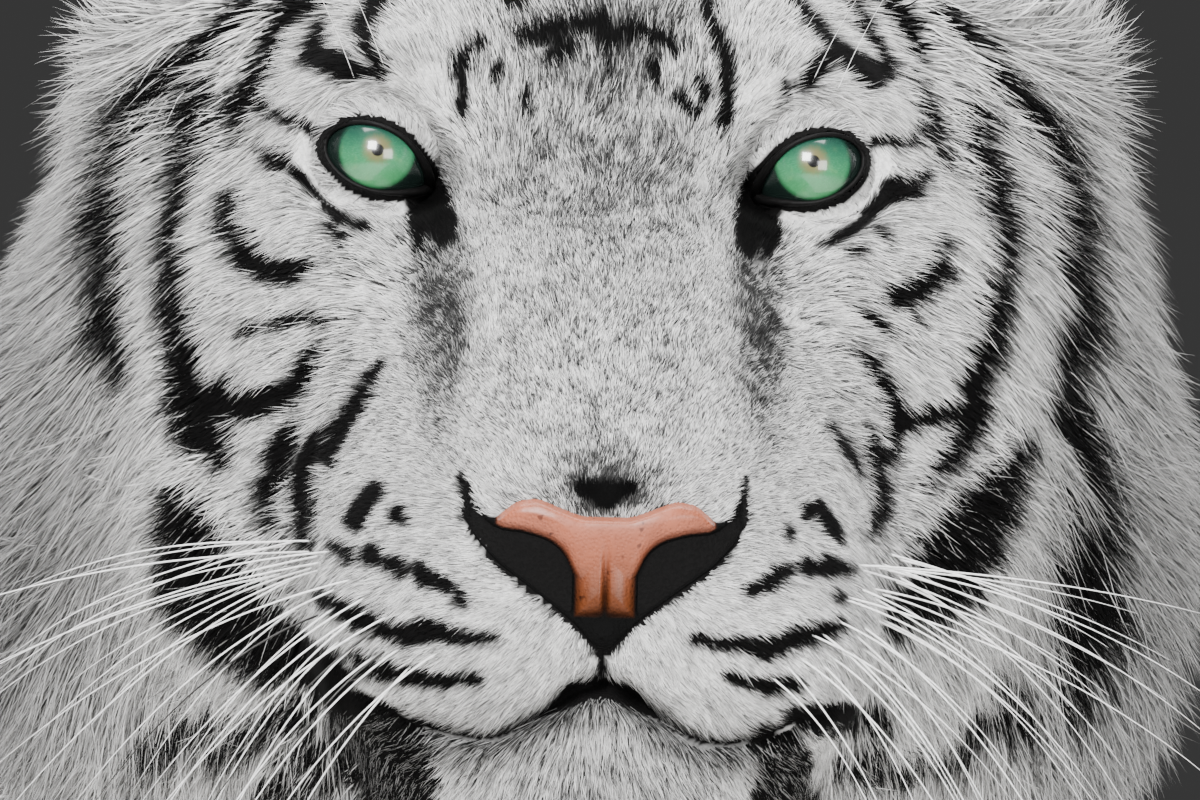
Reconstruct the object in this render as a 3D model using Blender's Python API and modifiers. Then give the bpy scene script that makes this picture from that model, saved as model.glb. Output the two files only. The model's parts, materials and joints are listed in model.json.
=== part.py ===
"""Life-size standing white tiger, as the closed outer envelope of its coat.

The animal is one smooth form, blended from eggs (ellipsoids) and limbs (rounded
cones), then parted by thin plane cuts into head, neck, trunk, legs and tail.
It faces -Y, stands on z = 0, and the box round it is centred on x = 0 and y = 0.
Run it with: blender --background --python part.py
"""
import math

import bmesh
import bpy
import numpy as np
from mathutils import Euler, Matrix, Vector

# ---- driving dimensions, in metres -----------------------------------------
EYE_HEIGHT = 0.960        # eye line above the floor
EYE_FORWARD = -0.815      # y of the eye line, before the whole is centred
EYE_SPREAD = 0.0654       # half the distance between the pupils
EYE_RADIUS = 0.0175       # eyeball
EYE_DEPTH = 0.0145        # centre of the eyeball behind the eye line
EYE_OPENING = (0.018, 0.016, 0.0135)
BACK_HEIGHT = 0.868       # lowest part of the back
BELLY_HEIGHT = 0.440      # underside of the chest
TRUNK_HALF_WIDTH = 0.194
FORE_X, FORE_Y = 0.134, -0.362
HIND_X, HIND_Y = 0.124, 0.512
FORE_STRIDE = {"left": -0.047, "right": 0.042}     # how far each paw stands back along y
HIND_STRIDE = {"left": 0.070, "right": -0.056}
SIDES = {"left": 1, "right": -1}
TAIL_BASE_RADIUS = 0.052
TAIL_TIP_RADIUS = 0.031
TAIL_LINE = (             # x, y, z of places that the tail passes
    (0.000, 0.600, 0.800), (0.000, 0.720, 0.755), (0.010, 0.815, 0.610), (0.026, 0.872, 0.420),
    (0.040, 0.950, 0.250), (0.046, 1.070, 0.165), (0.038, 1.205, 0.172),
)

CUT_GAP = 0.0003          # clear gap between neighbouring pieces
HEAD_VOXEL = 0.006        # grids of the blended forms
BODY_VOXEL = 0.011
NEAR = 0.09               # how far from a form its distance still matters
HEAD_TRIANGLES = 2400
BODY_TRIANGLES = 3200


# ---- building shapes --------------------------------------------------------
class Egg:
    """An ellipsoid with its own turn, in degrees."""

    def __init__(self, centre, radii, turn=(0, 0, 0), blend=0.02, carve=False):
        self.centre, self.radii = np.array(centre, float), np.array(radii, float)
        self.matrix = Euler([math.radians(a) for a in turn]).to_matrix()
        self.blend, self.carve = blend, carve
        self.middle, self.reach = self.centre, max(self.radii)

    def distance(self, points):
        local = (points - self.centre) @ np.array(self.matrix)
        near = np.linalg.norm(local / self.radii, axis=1)
        steep = np.linalg.norm(local / self.radii**2, axis=1)
        return near * (near - 1) / np.maximum(steep, 1e-9)

    def beads(self):
        if not self.carve:
            yield self.centre, self.radii, self.matrix


class Limb:
    """A rounded cone from start to end, with a radius at each."""

    def __init__(self, start, end, start_radius, end_radius, blend=0.03):
        self.start, self.end = np.array(start, float), np.array(end, float)
        self.radii, self.blend, self.carve = (start_radius, end_radius), blend, False
        self.middle = (self.start + self.end) / 2
        self.reach = np.linalg.norm(self.end - self.start) / 2 + max(self.radii)

    def distance(self, points):
        axis = self.end - self.start
        along = np.clip((points - self.start) @ axis / (axis @ axis), 0, 1)
        radius = self.radii[0] + (self.radii[1] - self.radii[0]) * along
        return np.linalg.norm(points - self.start - along[:, None] * axis, axis=1) - radius

    def beads(self):
        length = np.linalg.norm(self.end - self.start)
        count = max(2, math.ceil(length / (0.5 * min(self.radii))) + 1)
        for along in np.linspace(0, 1, count):
            radius = self.radii[0] + (self.radii[1] - self.radii[0]) * along
            yield self.start + along * (self.end - self.start), np.full(3, radius), Matrix.Identity(3)


def joined(forms, points):
    """Distance to the smooth union of the forms, and out of those that carve."""
    total = np.full(len(points), 1.0)
    for form in forms:
        away = np.linalg.norm(points - form.middle, axis=1)
        close = np.flatnonzero(away < form.reach + form.blend + NEAR)
        sign = -1 if form.carve else 1
        before, other = sign * total[close], form.distance(points[close])
        near = np.maximum(form.blend - np.abs(before - other), 0) / form.blend
        total[close] = sign * (np.minimum(before, other) - near * near * form.blend / 4)
    return total


def smooth_line(points, steps):
    """Points on a smooth curve (Catmull-Rom) through the given ones."""
    points = [np.array(p, float) for p in points]
    padded = [2 * points[0] - points[1], *points, 2 * points[-1] - points[-2]]
    line = []
    for before, start, end, after in zip(padded, padded[1:], padded[2:], padded[3:]):
        for t in np.arange(steps) / steps:
            bend = (2 * before - 5 * start + 4 * end - after) * t**2
            twist = (3 * start - before - 3 * end + after) * t**3
            line.append(0.5 * (2 * start + (end - before) * t + bend + twist))
    return line + [points[-1]]


def chain(points, radii, blend):
    """A row of limbs along points, such as a tail."""
    return [Limb(a, b, ra, rb, blend) for a, b, ra, rb in zip(points, points[1:], radii, radii[1:])]


# ---- the animal -------------------------------------------------------------
def at_head(right, up, forward):
    """A place given in millimetres from the midpoint between the eyes."""
    return right / 1000, EYE_FORWARD - forward / 1000, EYE_HEIGHT + up / 1000


def head_egg(right, up, forward, wide, high, deep, blend=20, turn=(0, 0, 0), carve=False):
    """An egg of the head, sized in millimetres."""
    return Egg(at_head(right, up, forward), (wide / 1000, deep / 1000, high / 1000), turn, blend / 1000, carve)


def head_limb(start, end, start_radius, end_radius, blend=20):
    return Limb(at_head(*start), at_head(*end), start_radius / 1000, end_radius / 1000, blend / 1000)


def head_forms():
    forms = [
        head_egg(0, 8, -125, 108, 87, 112),                  # cranium
        head_egg(0, -6, -60, 88, 74, 74, 40),                # forehead
        head_egg(0, -122, -90, 114, 98, 105, 50),            # throat
    ]
    for side in SIDES.values():
        forms += [
            head_egg(side * 56, 24, -28, 38, 16, 26, 22, (0, side * 10, side * -14)),   # brow
            head_egg(side * 78, -40, -46, 52, 46, 58, 34),                      # cheekbone
            head_egg(side * 92, -98, -54, 56, 68, 66, 40),                      # jaw muscle
            head_limb((side * 34, -178, 58), (side * 72, -156, -60), 36, 58),   # lower jaw
            head_egg(side * 120, -112, -118, 80, 116, 60, 45),                  # lower ruff
            head_egg(side * 114, -4, -125, 56, 84, 54, 40),                     # upper ruff
        ]
    for side in SIDES.values():
        forms += [
            head_limb((side * 11, 0, -30), (side * 14, -58, 50), 29, 33, 18),         # bridge
            head_limb((side * 14, -58, 50), (side * 15, -102, 102), 33, 31, 18),
            head_limb((side * 46, -66, -6), (side * 34, -112, 74), 42, 38, 24),       # upper jaw
            head_limb((side * 68, -124, -20), (side * 44, -140, 58), 52, 38, 30),     # cheek behind the lips
        ]
    forms += [
        head_egg(0, -177, 80, 56, 40, 43, 16),               # chin
        head_egg(0, -117, 122, 37, 23, 27, 14),              # nose
        head_egg(0, -144, 112, 26, 18, 26, 12),              # lip under the nose
    ]
    for side in SIDES.values():
        forms += [head_egg(side * 40, -141, 86, 45, 38, 51, 14, (0, 0, side * 12))]  # whisker pad
    return forms


def ear_forms(side):
    turn = (-12, side * 20, side * 28)
    return [
        head_egg(side * 104, 70, -150, 42, 40, 36, 20),
        head_egg(side * 114, 96, -142, 48, 54, 18, 16, turn),
        head_egg(side * 121, 104, -121, 33, 40, 17, 5, turn, carve=True),
    ]


def neck_forms():
    return [
        Limb(at_head(0, -60, -150), (0, -0.440, 0.690), 0.150, 0.172, 0.09),
        Egg((0, -0.490, 0.610), (0.122, 0.095, 0.122), (25, 0, 0), 0.09),
        Limb(at_head(0, -14, -160), (0, -0.330, 0.775), 0.106, 0.085, 0.06),
    ]


class Barrel:
    """The trunk: upright oval sections whose size changes smoothly along y."""

    blend, carve = 0.05, False
    middle, reach = np.array((0, 0.08, 0.66)), 0.80
    # y, top of the back, underside, half width
    sections = (
        (-0.575, 0.780, 0.600, 0.050),
        (-0.500, 0.850, 0.515, 0.120),
        (-0.400, 0.892, 0.462, 0.160),
        (-0.270, 0.893, 0.442, 0.182),
        (-0.100, 0.878, BELLY_HEIGHT, TRUNK_HALF_WIDTH),
        (0.060, BACK_HEIGHT, 0.455, TRUNK_HALF_WIDTH),
        (0.200, 0.868, 0.484, 0.180),
        (0.340, 0.878, 0.520, 0.160),
        (0.480, 0.888, 0.565, 0.150),
        (0.600, 0.868, 0.620, 0.128),
        (0.680, 0.830, 0.680, 0.085),
        (0.730, 0.795, 0.735, 0.030),
    )

    def at(self, y):
        table = np.array(self.sections)
        top, bottom, half = (np.interp(y, table[:, 0], table[:, k]) for k in (1, 2, 3))
        return (top + bottom) / 2, (top - bottom) / 2, half

    def distance(self, points):
        y = points[:, 1]
        past = np.maximum(self.sections[0][0] - y, 0) + np.maximum(y - self.sections[-1][0], 0)
        nearby = [self.at(y + step) for step in (-0.05, -0.025, 0, 0.025, 0.05)]
        middle, high, wide = (sum(values) / 5 for values in zip(*nearby))
        across = np.stack([points[:, 0] / wide, (points[:, 2] - middle) / high], axis=1)
        near = np.linalg.norm(across, axis=1)
        steep = np.linalg.norm(across / np.stack([wide, high], axis=1), axis=1)
        beside = near * (near - 1) / np.maximum(steep, 1e-6)
        return np.where(past > 0, np.hypot(np.maximum(beside, 0), past), beside)

    def beads(self):
        for y in np.linspace(self.sections[0][0], self.sections[-1][0], 40):
            middle, high, wide = self.at(y)
            yield (0, y, middle), (wide, 0.03, high), Matrix.Identity(3)


def trunk_forms():
    forms = [Barrel()]
    for side in SIDES.values():
        forms += [
            Egg((side * 0.104, -0.350, 0.735), (0.076, 0.112, 0.178), (22, side * 14, 0), 0.08),   # shoulder blade
            Egg((side * 0.093, 0.470, 0.720), (0.088, 0.165, 0.145), (-25, side * 8, 0), 0.08),    # hip
        ]
    return forms


def strided(point, stride, height):
    """Moves a place on a leg forward or back, more the lower it is."""
    x, y, z = point
    return x, y + stride * (1 - min(z, height) / height), z


def paw_forms(x, y, wide, long):
    """A paw on the floor: its sole is cut flat at z = 0 later."""
    forms = [Egg((x, y, 0.041), (wide * 0.48, long * 0.46, 0.049), (-5, 0, 0), 0.03)]
    for place in (-1.5, -0.5, 0.5, 1.5):
        across = x + place * wide * 0.245
        front = y - long * (0.40 - 0.055 * place * place)
        forms.append(Egg((across, front, 0.026), (wide * 0.150, long * 0.225, 0.034), (6, 0, -5 * place), 0.010))
    return forms


def foreleg_forms(name):
    side, stride, top = SIDES[name], FORE_STRIDE[name], 0.58

    def at(x, y, z):
        return strided((side * x, y, z), stride, top)

    elbow, forearm = at(0.143, -0.320, 0.490), at(0.139, -0.338, 0.330)
    wrist, ankle = at(FORE_X, FORE_Y + 0.006, 0.155), at(FORE_X, FORE_Y - 0.013, 0.070)
    paw = at(FORE_X, FORE_Y - 0.034, 0.0)
    forms = [
        Limb(at(0.122, -0.425, 0.630), at(0.142, -0.305, 0.500), 0.106, 0.094, 0.08),
        Limb(elbow, forearm, 0.092, 0.079, 0.04),
        Limb(forearm, wrist, 0.079, 0.062, 0.01),
        Limb(wrist, ankle, 0.062, 0.059, 0.01),
        Egg(at(0.142, -0.254, 0.478), (0.042, 0.042, 0.060), (20, 0, 0), 0.05),       # elbow
    ]
    return forms + paw_forms(paw[0], paw[1], 0.152, 0.195)


def hindleg_forms(name):
    side, stride, top = SIDES[name], HIND_STRIDE[name], 0.62

    def at(x, y, z):
        return strided((side * x, y, z), stride, top)

    thigh, knee, calf = at(0.128, 0.415, 0.540), at(0.139, 0.372, 0.460), at(0.133, 0.500, 0.380)
    hock, ankle = at(HIND_X, HIND_Y + 0.111, 0.263), at(HIND_X, HIND_Y + 0.049, 0.090)
    paw = at(HIND_X, HIND_Y - 0.010, 0.0)
    forms = [
        Limb(at(0.098, 0.505, 0.690), thigh, 0.132, 0.115, 0.08),
        Egg(at(0.110, 0.560, 0.605), (0.074, 0.108, 0.172), (22, 0, 0), 0.08),          # back of the thigh
        Limb(thigh, knee, 0.108, 0.082, 0.05),
        Limb(knee, calf, 0.082, 0.076, 0.05),
        Egg(at(0.131, 0.520, 0.440), (0.056, 0.085, 0.075), (-35, 0, 0), 0.06),         # calf
        Limb(calf, hock, 0.076, 0.049, 0.03),
        Limb(hock, ankle, 0.049, 0.048, 0.02),
        Egg(at(HIND_X, HIND_Y + 0.130, 0.274), (0.027, 0.029, 0.043), (-20, 0, 0), 0.03),  # heel
        Limb(ankle, at(HIND_X, HIND_Y + 0.008, 0.060), 0.048, 0.050, 0.01),
    ]
    return forms + paw_forms(paw[0], paw[1], 0.138, 0.178)


def tail_course():
    """The middle of the tail: down behind the thighs, then out and up again near its end."""
    return smooth_line(TAIL_LINE, 3)


def tail_forms():
    line = tail_course()
    share = np.linspace(0, 1, len(line))
    radii = TAIL_BASE_RADIUS + (TAIL_TIP_RADIUS - TAIL_BASE_RADIUS) * np.sqrt(share)
    return [Limb(*line[:2], *radii[:2], 0.06)] + chain(line[1:], radii[1:], 0.004)


def body_forms():
    forms = trunk_forms()
    for name in SIDES:
        forms += foreleg_forms(name) + hindleg_forms(name)
    return forms + tail_forms()


def front_forms():
    """Head, ears and neck."""
    forms = neck_forms() + head_forms()
    for side in SIDES.values():
        forms += ear_forms(side)
    return forms


def all_forms():
    return body_forms() + front_forms()


# ---- meshes -----------------------------------------------------------------
def evaluated_copy(obj, name):
    graph = bpy.context.evaluated_depsgraph_get()
    mesh = bpy.data.meshes.new_from_object(obj.evaluated_get(graph))
    copy = bpy.data.objects.new(name, mesh)
    bpy.context.scene.collection.objects.link(copy)
    return copy


def places(mesh):
    found = np.empty(len(mesh.vertices) * 3, np.float32)
    mesh.vertices.foreach_get("co", found)
    return found.reshape(-1, 3).astype(float)


def place_all(mesh, points):
    mesh.vertices.foreach_set("co", points.astype(np.float32).ravel())
    mesh.update()


def smoothed(mesh, points, share):
    """Each point moved a share of the way to the mean of its neighbours."""
    edges = np.empty(len(mesh.edges) * 2, np.int32)
    mesh.edges.foreach_get("vertices", edges)
    a, b = edges.reshape(-1, 2).T
    total, count = np.zeros_like(points), np.zeros(len(points))
    for here, there in ((a, b), (b, a)):
        np.add.at(total, here, points[there])
        np.add.at(count, here, 1)
    return points + share * (total / np.maximum(count, 1)[:, None] - points)


def settled(mesh, forms, rounds=10):
    """Moves every point of the mesh onto the blended form."""
    points = places(mesh)
    small = 0.0004
    for turn in range(rounds):
        for _ in range(max(0, (rounds - turn) // 3)):
            points = smoothed(mesh, points, 0.5)
        here = joined(forms, points)
        slope = np.stack([joined(forms, points + small * np.eye(3)[k]) - here for k in range(3)], axis=1) / small
        slope /= np.maximum(np.linalg.norm(slope, axis=1), 0.3)[:, None]
        points = points - np.clip(here, -0.01, 0.01)[:, None] * slope
    place_all(mesh, points)


def blended(name, forms, voxel):
    """One closed mesh on the smooth union of the forms."""
    shape = bmesh.new()
    for form in forms:
        for centre, radii, matrix in form.beads():
            turned = Matrix.Translation(centre) @ matrix.to_4x4() @ Matrix.Diagonal((*radii, 1))
            bmesh.ops.create_icosphere(shape, subdivisions=2, radius=1, matrix=turned)
    mesh = bpy.data.meshes.new(name)
    shape.to_mesh(mesh)
    shape.free()
    rough = bpy.data.objects.new(name + "_rough", mesh)
    bpy.context.scene.collection.objects.link(rough)
    remesh = rough.modifiers.new("Remesh", "REMESH")
    remesh.mode, remesh.voxel_size = "VOXEL", voxel
    result = evaluated_copy(rough, name)
    bpy.data.objects.remove(rough)
    settled(result.data, forms)
    return result


def thinned(source, triangles, name):
    """A copy of the source with about this many triangles."""
    copy = evaluated_copy(source, name)
    triangulate = copy.modifiers.new("Triangulate", "TRIANGULATE")
    triangulate.quad_method = "BEAUTY"
    decimate = copy.modifiers.new("Decimate", "DECIMATE")
    total = sum(len(face.vertices) - 2 for face in copy.data.polygons)
    decimate.ratio = min(1, triangles / total)
    result = evaluated_copy(copy, name)
    bpy.data.objects.remove(copy)
    return result


def kept_side(shape, point, normal):
    """Cuts the closed shape by a plane and keeps, closed again, what the normal points away from."""
    normal = Vector(normal).normalized()
    geometry = shape.verts[:] + shape.edges[:] + shape.faces[:]
    bmesh.ops.bisect_plane(
        shape, geom=geometry, dist=2e-5, plane_co=Vector(point) - normal * CUT_GAP / 2, plane_no=normal, clear_outer=True
    )
    rim = [edge for edge in shape.edges if edge.is_boundary]
    bmesh.ops.holes_fill(shape, edges=rim, sides=0)


def nearest_body(shape, place):
    """Keeps only the body that comes nearest to the place."""
    left, bodies = set(shape.verts), []
    while left:
        body, queue = set(), [left.pop()]
        while queue:
            vertex = queue.pop()
            body.add(vertex)
            for edge in vertex.link_edges:
                far = edge.other_vert(vertex)
                if far in left:
                    left.remove(far)
                    queue.append(far)
        bodies.append(body)
    kept = min(bodies, key=lambda body: min((vertex.co - Vector(place)).length for vertex in body))
    for body in bodies:
        if body is not kept:
            bmesh.ops.delete(shape, geom=list(body), context="VERTS")


def part(name, source, place, planes, collection, material):
    """One named piece: the body of the source near the place, inside planes given as point and outward normal."""
    shape = bmesh.new()
    shape.from_mesh(source.data)
    for point, normal in planes:
        kept_side(shape, point, normal)
        nearest_body(shape, place)
    bmesh.ops.triangulate(shape, faces=shape.faces[:])
    bmesh.ops.recalc_face_normals(shape, faces=shape.faces[:])
    open_edges = sum(not edge.is_manifold for edge in shape.edges)
    if open_edges:
        raise ValueError(f"{name} has {open_edges} open edges")
    mesh = bpy.data.meshes.new(name)
    shape.to_mesh(mesh)
    shape.free()
    mesh.materials.append(material)
    obj = bpy.data.objects.new(name, mesh)
    collection.objects.link(obj)
    return obj


# ---- the cuts: each a place on the plane and its normal ----------------------
NECK_TOP = (at_head(0, -60, -178), (0, 1, -0.35))
NECK_BASE = ((0, -0.530, 0.780), (0, 1, -0.55))
RIBS_FRONT = ((0, -0.155, 0), (0, 1, 0))
RUMP_FRONT = ((0, 0.235, 0), (0, 1, 0))
TAIL_ROOT = ((0, 0.735, 0.740), (0, 1, -0.25))
FLOOR = ((0, 0, -CUT_GAP / 2), (0, 0, -1))
FORE_PLANE = ((0.028, 0.404), (0.221, 0.743))      # inner and outer (x, z) of the slanting cut over each leg
HIND_PLANE = ((0.019, 0.470), (0.202, 0.808))
ELBOW_HEIGHT, WRIST_HEIGHT = 0.418, 0.128
KNEE_HEIGHT, HOCK_HEIGHT, HEEL_HEIGHT = 0.395, 0.238, 0.108
TAIL_CUTS = (6, 10, 14)                            # along the course of the tail


def other(plane):
    """The same plane, with the other side kept."""
    point, normal = plane
    return point, tuple(-n for n in normal)


def leg_plane(side, ends, y):
    """The slanting plane between trunk and leg. Its normal points to the leg."""
    (x0, z0), (x1, z1) = ends
    return (side * x0, y, z0), (side * (z1 - z0), 0, -(x1 - x0))


def level(height):
    return (0, 0, height), (0, 0, 1)


def ear_plane(side):
    return at_head(side * 92, 66, -135), (side * 0.50, 0, 0.87)


def painted(name, colour, roughness):
    material = bpy.data.materials.new(name)
    material.use_nodes = True
    shader = material.node_tree.nodes["Principled BSDF"]
    shader.inputs["Base Color"].default_value = (*colour, 1)
    shader.inputs["Roughness"].default_value = roughness
    shader.inputs["Metallic"].default_value = 0.0
    return material


def solid(name, shape, collection):
    mesh = bpy.data.meshes.new(name)
    shape.to_mesh(mesh)
    shape.free()
    obj = bpy.data.objects.new(name, mesh)
    collection.objects.link(obj)
    if collection.name == "cutters":
        obj.hide_render, obj.display_type = True, "WIRE"
    return obj


def ball(name, centre, radii, collection):
    """A ball or egg whose poles face forward and back."""
    shape = bmesh.new()
    turned = Matrix.Diagonal((*radii, 1)) @ Matrix.Rotation(math.radians(90), 4, "X")
    bmesh.ops.create_uvsphere(
        shape, u_segments=16, v_segments=10, radius=1, matrix=Matrix.Translation(centre) @ turned
    )
    return solid(name, shape, collection)


def block(name, centre, size, turn, collection):
    """A cutter box."""
    shape = bmesh.new()
    turned = Euler([math.radians(a) for a in turn]).to_matrix().to_4x4()
    bmesh.ops.create_cube(shape, size=1, matrix=Matrix.Translation(centre) @ turned @ Matrix.Diagonal((*size, 1)))
    return solid(name, shape, collection)


def boolean(obj, cutter, operation):
    modifier = obj.modifiers.new(operation.title(), "BOOLEAN")
    modifier.operation, modifier.object, modifier.solver = operation, cutter, "EXACT"


def head_parts(source, animal, cutters, coat, leather, glass):
    """Head, ears, eyes, nose and jaw."""
    ear_planes = {name: ear_plane(side) for name, side in SIDES.items()}
    planes = [NECK_TOP, *ear_planes.values()]
    middle = at_head(0, 90, -100)
    head = part("head", source, middle, planes, animal, coat)
    for name, side in SIDES.items():
        part(f"ear_{name}", source, at_head(side * 125, 150, -150), [NECK_TOP, other(ear_planes[name])], animal, coat)
        centre = at_head(side * EYE_SPREAD * 1000, 0, -EYE_DEPTH * 1000)
        eye = ball(f"eye_{name}", centre, (EYE_RADIUS,) * 3, animal)
        eye.data.materials.append(glass)
        boolean(head, ball(f"socket_{name}", centre, (EYE_RADIUS + 0.0008,) * 3, cutters), "DIFFERENCE")
        front = at_head(side * EYE_SPREAD * 1000, 0, 12)
        boolean(head, ball(f"opening_{name}", front, EYE_OPENING, cutters), "DIFFERENCE")

    for name, place, size, turn, material in (
        ("jaw", at_head(0, -214, 84), (0.152, 0.166, 0.130), (-8, 0, 0), coat),
        ("nose", at_head(0, -116, 150), (0.062, 0.030, 0.040), (0, 0, 0), leather),
    ):
        piece = part(name, source, middle, planes, animal, material)
        boolean(piece, block(name + "_keep", place, size, turn, cutters), "INTERSECT")
        larger = tuple(s + 2 * CUT_GAP for s in size)
        boolean(head, block(name + "_cut", place, larger, turn, cutters), "DIFFERENCE")


def trunk_parts(source, fore, hind, animal, coat):
    part("neck", source, (0, -0.6, 0.80), [other(NECK_TOP), NECK_BASE], animal, coat)
    part("chest", source, (0, -0.3, 0.9), [other(NECK_BASE), RIBS_FRONT, *fore.values()], animal, coat)
    part("belly", source, (0, 0, 0.9), [other(RIBS_FRONT), RUMP_FRONT], animal, coat)
    part("rump", source, (0, 0.5, 0.9), [other(RUMP_FRONT), TAIL_ROOT, *hind.values()], animal, coat)


def leg_parts(source, name, fore, hind, animal, coat):
    side = SIDES[name]
    elbow, wrist = level(ELBOW_HEIGHT), level(WRIST_HEIGHT)
    knee, hock, heel = level(KNEE_HEIGHT), level(HOCK_HEIGHT), level(HEEL_HEIGHT)
    front, back = (side * FORE_X, FORE_Y), (side * HIND_X, HIND_Y)
    pieces = (
        (f"fore_upper_{name}", (*front, 0.5), [other(fore[name]), other(elbow), other(NECK_BASE), RIBS_FRONT]),
        (f"fore_lower_{name}", (*front, 0.3), [elbow, other(wrist), RIBS_FRONT]),
        (f"fore_paw_{name}", (*front, 0.1), [wrist, FLOOR, RIBS_FRONT]),
        (f"hind_upper_{name}", (*back, 0.5), [other(hind[name]), other(knee), other(RUMP_FRONT), TAIL_ROOT]),
        (f"hind_lower_{name}", (*back, 0.3), [knee, other(hock), other(RUMP_FRONT)]),
        (f"hind_shank_{name}", (*back, 0.2), [hock, other(heel), other(RUMP_FRONT)]),
        (f"hind_paw_{name}", (*back, 0.1), [heel, FLOOR, other(RUMP_FRONT)]),
    )
    for title, place, planes in pieces:
        part(title, source, place, planes, animal, coat)


def tail_parts(source, animal, coat):
    line = tail_course()
    cuts = [TAIL_ROOT] + [(tuple(line[k]), tuple(line[k + 1] - line[k - 1])) for k in TAIL_CUTS]
    middles = [line[k] for k in (5, 8, 12, 16)]
    for k, middle in enumerate(middles):
        part(f"tail_{k + 1}", source, middle, [other(cuts[k]), *cuts[k + 1:k + 2]], animal, coat)


def centre_along_y(animal, cutters):
    """Moves everything along y, so that the box round the animal is centred."""
    ends = [vertex.co.y for obj in animal.objects for vertex in obj.data.vertices]
    shift = Matrix.Translation((0, -(min(ends) + max(ends)) / 2, 0))
    for obj in [*animal.objects, *cutters.objects]:
        obj.data.transform(shift)


def main():
    for obj in list(bpy.data.objects):
        bpy.data.objects.remove(obj)
    animal = bpy.data.collections.new("white_tiger")
    cutters = bpy.data.collections.new("cutters")
    for collection in (animal, cutters):
        bpy.context.scene.collection.children.link(collection)

    coat = painted("white_coat", (0.74, 0.74, 0.73), 0.85)
    leather = painted("nose_leather", (0.62, 0.32, 0.24), 0.45)
    glass = painted("eye", (0.22, 0.55, 0.40), 0.08)

    front = blended("front", front_forms(), HEAD_VOXEL)
    whole = blended("whole", all_forms(), BODY_VOXEL)
    fine = thinned(front, HEAD_TRIANGLES, "fine")
    coarse = thinned(whole, BODY_TRIANGLES, "coarse")

    fore = {name: leg_plane(side, FORE_PLANE, FORE_Y) for name, side in SIDES.items()}
    hind = {name: leg_plane(side, HIND_PLANE, HIND_Y) for name, side in SIDES.items()}
    head_parts(fine, animal, cutters, coat, leather, glass)
    trunk_parts(coarse, fore, hind, animal, coat)
    for name in SIDES:
        leg_parts(coarse, name, fore, hind, animal, coat)
    tail_parts(coarse, animal, coat)
    centre_along_y(animal, cutters)

    for obj in (front, whole, fine, coarse):
        bpy.data.objects.remove(obj)


main()
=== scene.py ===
"""A life-size white tiger that stands still and faces ahead: skin, coat, eyes, nose, whiskers and claws."""

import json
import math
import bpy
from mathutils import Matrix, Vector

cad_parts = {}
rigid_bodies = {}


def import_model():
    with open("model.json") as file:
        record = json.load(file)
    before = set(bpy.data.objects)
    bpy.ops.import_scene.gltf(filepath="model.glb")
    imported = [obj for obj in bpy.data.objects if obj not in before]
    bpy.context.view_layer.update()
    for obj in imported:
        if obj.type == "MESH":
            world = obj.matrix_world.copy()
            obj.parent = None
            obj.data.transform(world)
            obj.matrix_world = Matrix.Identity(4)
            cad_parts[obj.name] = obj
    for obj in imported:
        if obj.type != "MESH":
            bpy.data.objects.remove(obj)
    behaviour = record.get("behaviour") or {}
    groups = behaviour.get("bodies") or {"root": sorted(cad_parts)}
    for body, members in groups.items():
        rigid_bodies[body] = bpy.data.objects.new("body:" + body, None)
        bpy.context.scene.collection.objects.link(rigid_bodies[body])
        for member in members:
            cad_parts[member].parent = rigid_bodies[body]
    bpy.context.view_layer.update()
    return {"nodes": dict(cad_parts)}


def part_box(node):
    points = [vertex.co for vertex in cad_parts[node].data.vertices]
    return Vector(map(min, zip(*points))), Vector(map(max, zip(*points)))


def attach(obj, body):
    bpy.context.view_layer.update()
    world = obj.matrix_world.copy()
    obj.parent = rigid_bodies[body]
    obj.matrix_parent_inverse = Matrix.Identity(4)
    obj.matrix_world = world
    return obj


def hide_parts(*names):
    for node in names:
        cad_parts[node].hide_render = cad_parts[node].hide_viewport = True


bl_info = {
    "name": "White Tiger",
    "version": (1, 0, 0),
    "blender": (4, 5, 0),
    "location": "View3D > Sidebar > Tiger",
    "description": "Dresses the solids of a standing white tiger in skin, coat, eyes, nose and whiskers",
    "category": "Object",
}

import bmesh
import bpy
import numpy as np
from bpy.props import FloatProperty, FloatVectorProperty, IntProperty, PointerProperty
from mathutils import Matrix, Vector
from mathutils.bvhtree import BVHTree

for left_over in list(bpy.data.objects):
    bpy.data.objects.remove(left_over)

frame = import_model()

MM = 0.001
BODY = "root"
FLESH = [name for name in frame["nodes"] if not name.startswith(("eye", "nose"))]
# The nodes of the head; its ears come last
HEAD_NODES = ("head", "jaw", "neck", "ear_left", "ear_right")


def middle(node):
    """The middle of a CAD node's box."""
    low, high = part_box(node)
    return (low + high) / 2


EYE_RADIUS = (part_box("eye_left")[1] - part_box("eye_left")[0]).x / 2
EYES = {"left": middle("eye_left"), "right": middle("eye_right")}
# How far the middle of an eyeball lies behind the point between the eyes, in millimetres
EYE_DEPTH = 14.5
HEAD = (EYES["left"] + EYES["right"]) / 2 + Vector((0, -EYE_DEPTH * MM, 0))
# Where the hair of the head parts: right, up and forward of the point between the eyes, in millimetres
NOSE_TIP = np.array((0.0, -120.0, 116.0))

# ---------------------------------------------------------------- places and fields


def to_head(points):
    """Places in metres to millimetres right, up and forward of the point between the eyes."""
    return (np.asarray(points, float) - np.array(HEAD))[:, (0, 2, 1)] * np.array((1, 1, -1)) / MM


def from_head(places):
    """Millimetres right, up and forward of the point between the eyes to places in metres."""
    return (np.asarray(places, float) * np.array((1, 1, -1)))[:, (0, 2, 1)] * MM + np.array(HEAD)


def ramp(value, low, high):
    """0 below low, 1 above high and a smooth step between them."""
    t = np.clip((value - low) / (high - low), 0, 1)
    return t * t * (3 - 2 * t)


def unit(vectors):
    """The same directions with a length of one."""
    return vectors / np.maximum(np.linalg.norm(vectors, axis=-1, keepdims=True), 1e-9)


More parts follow.
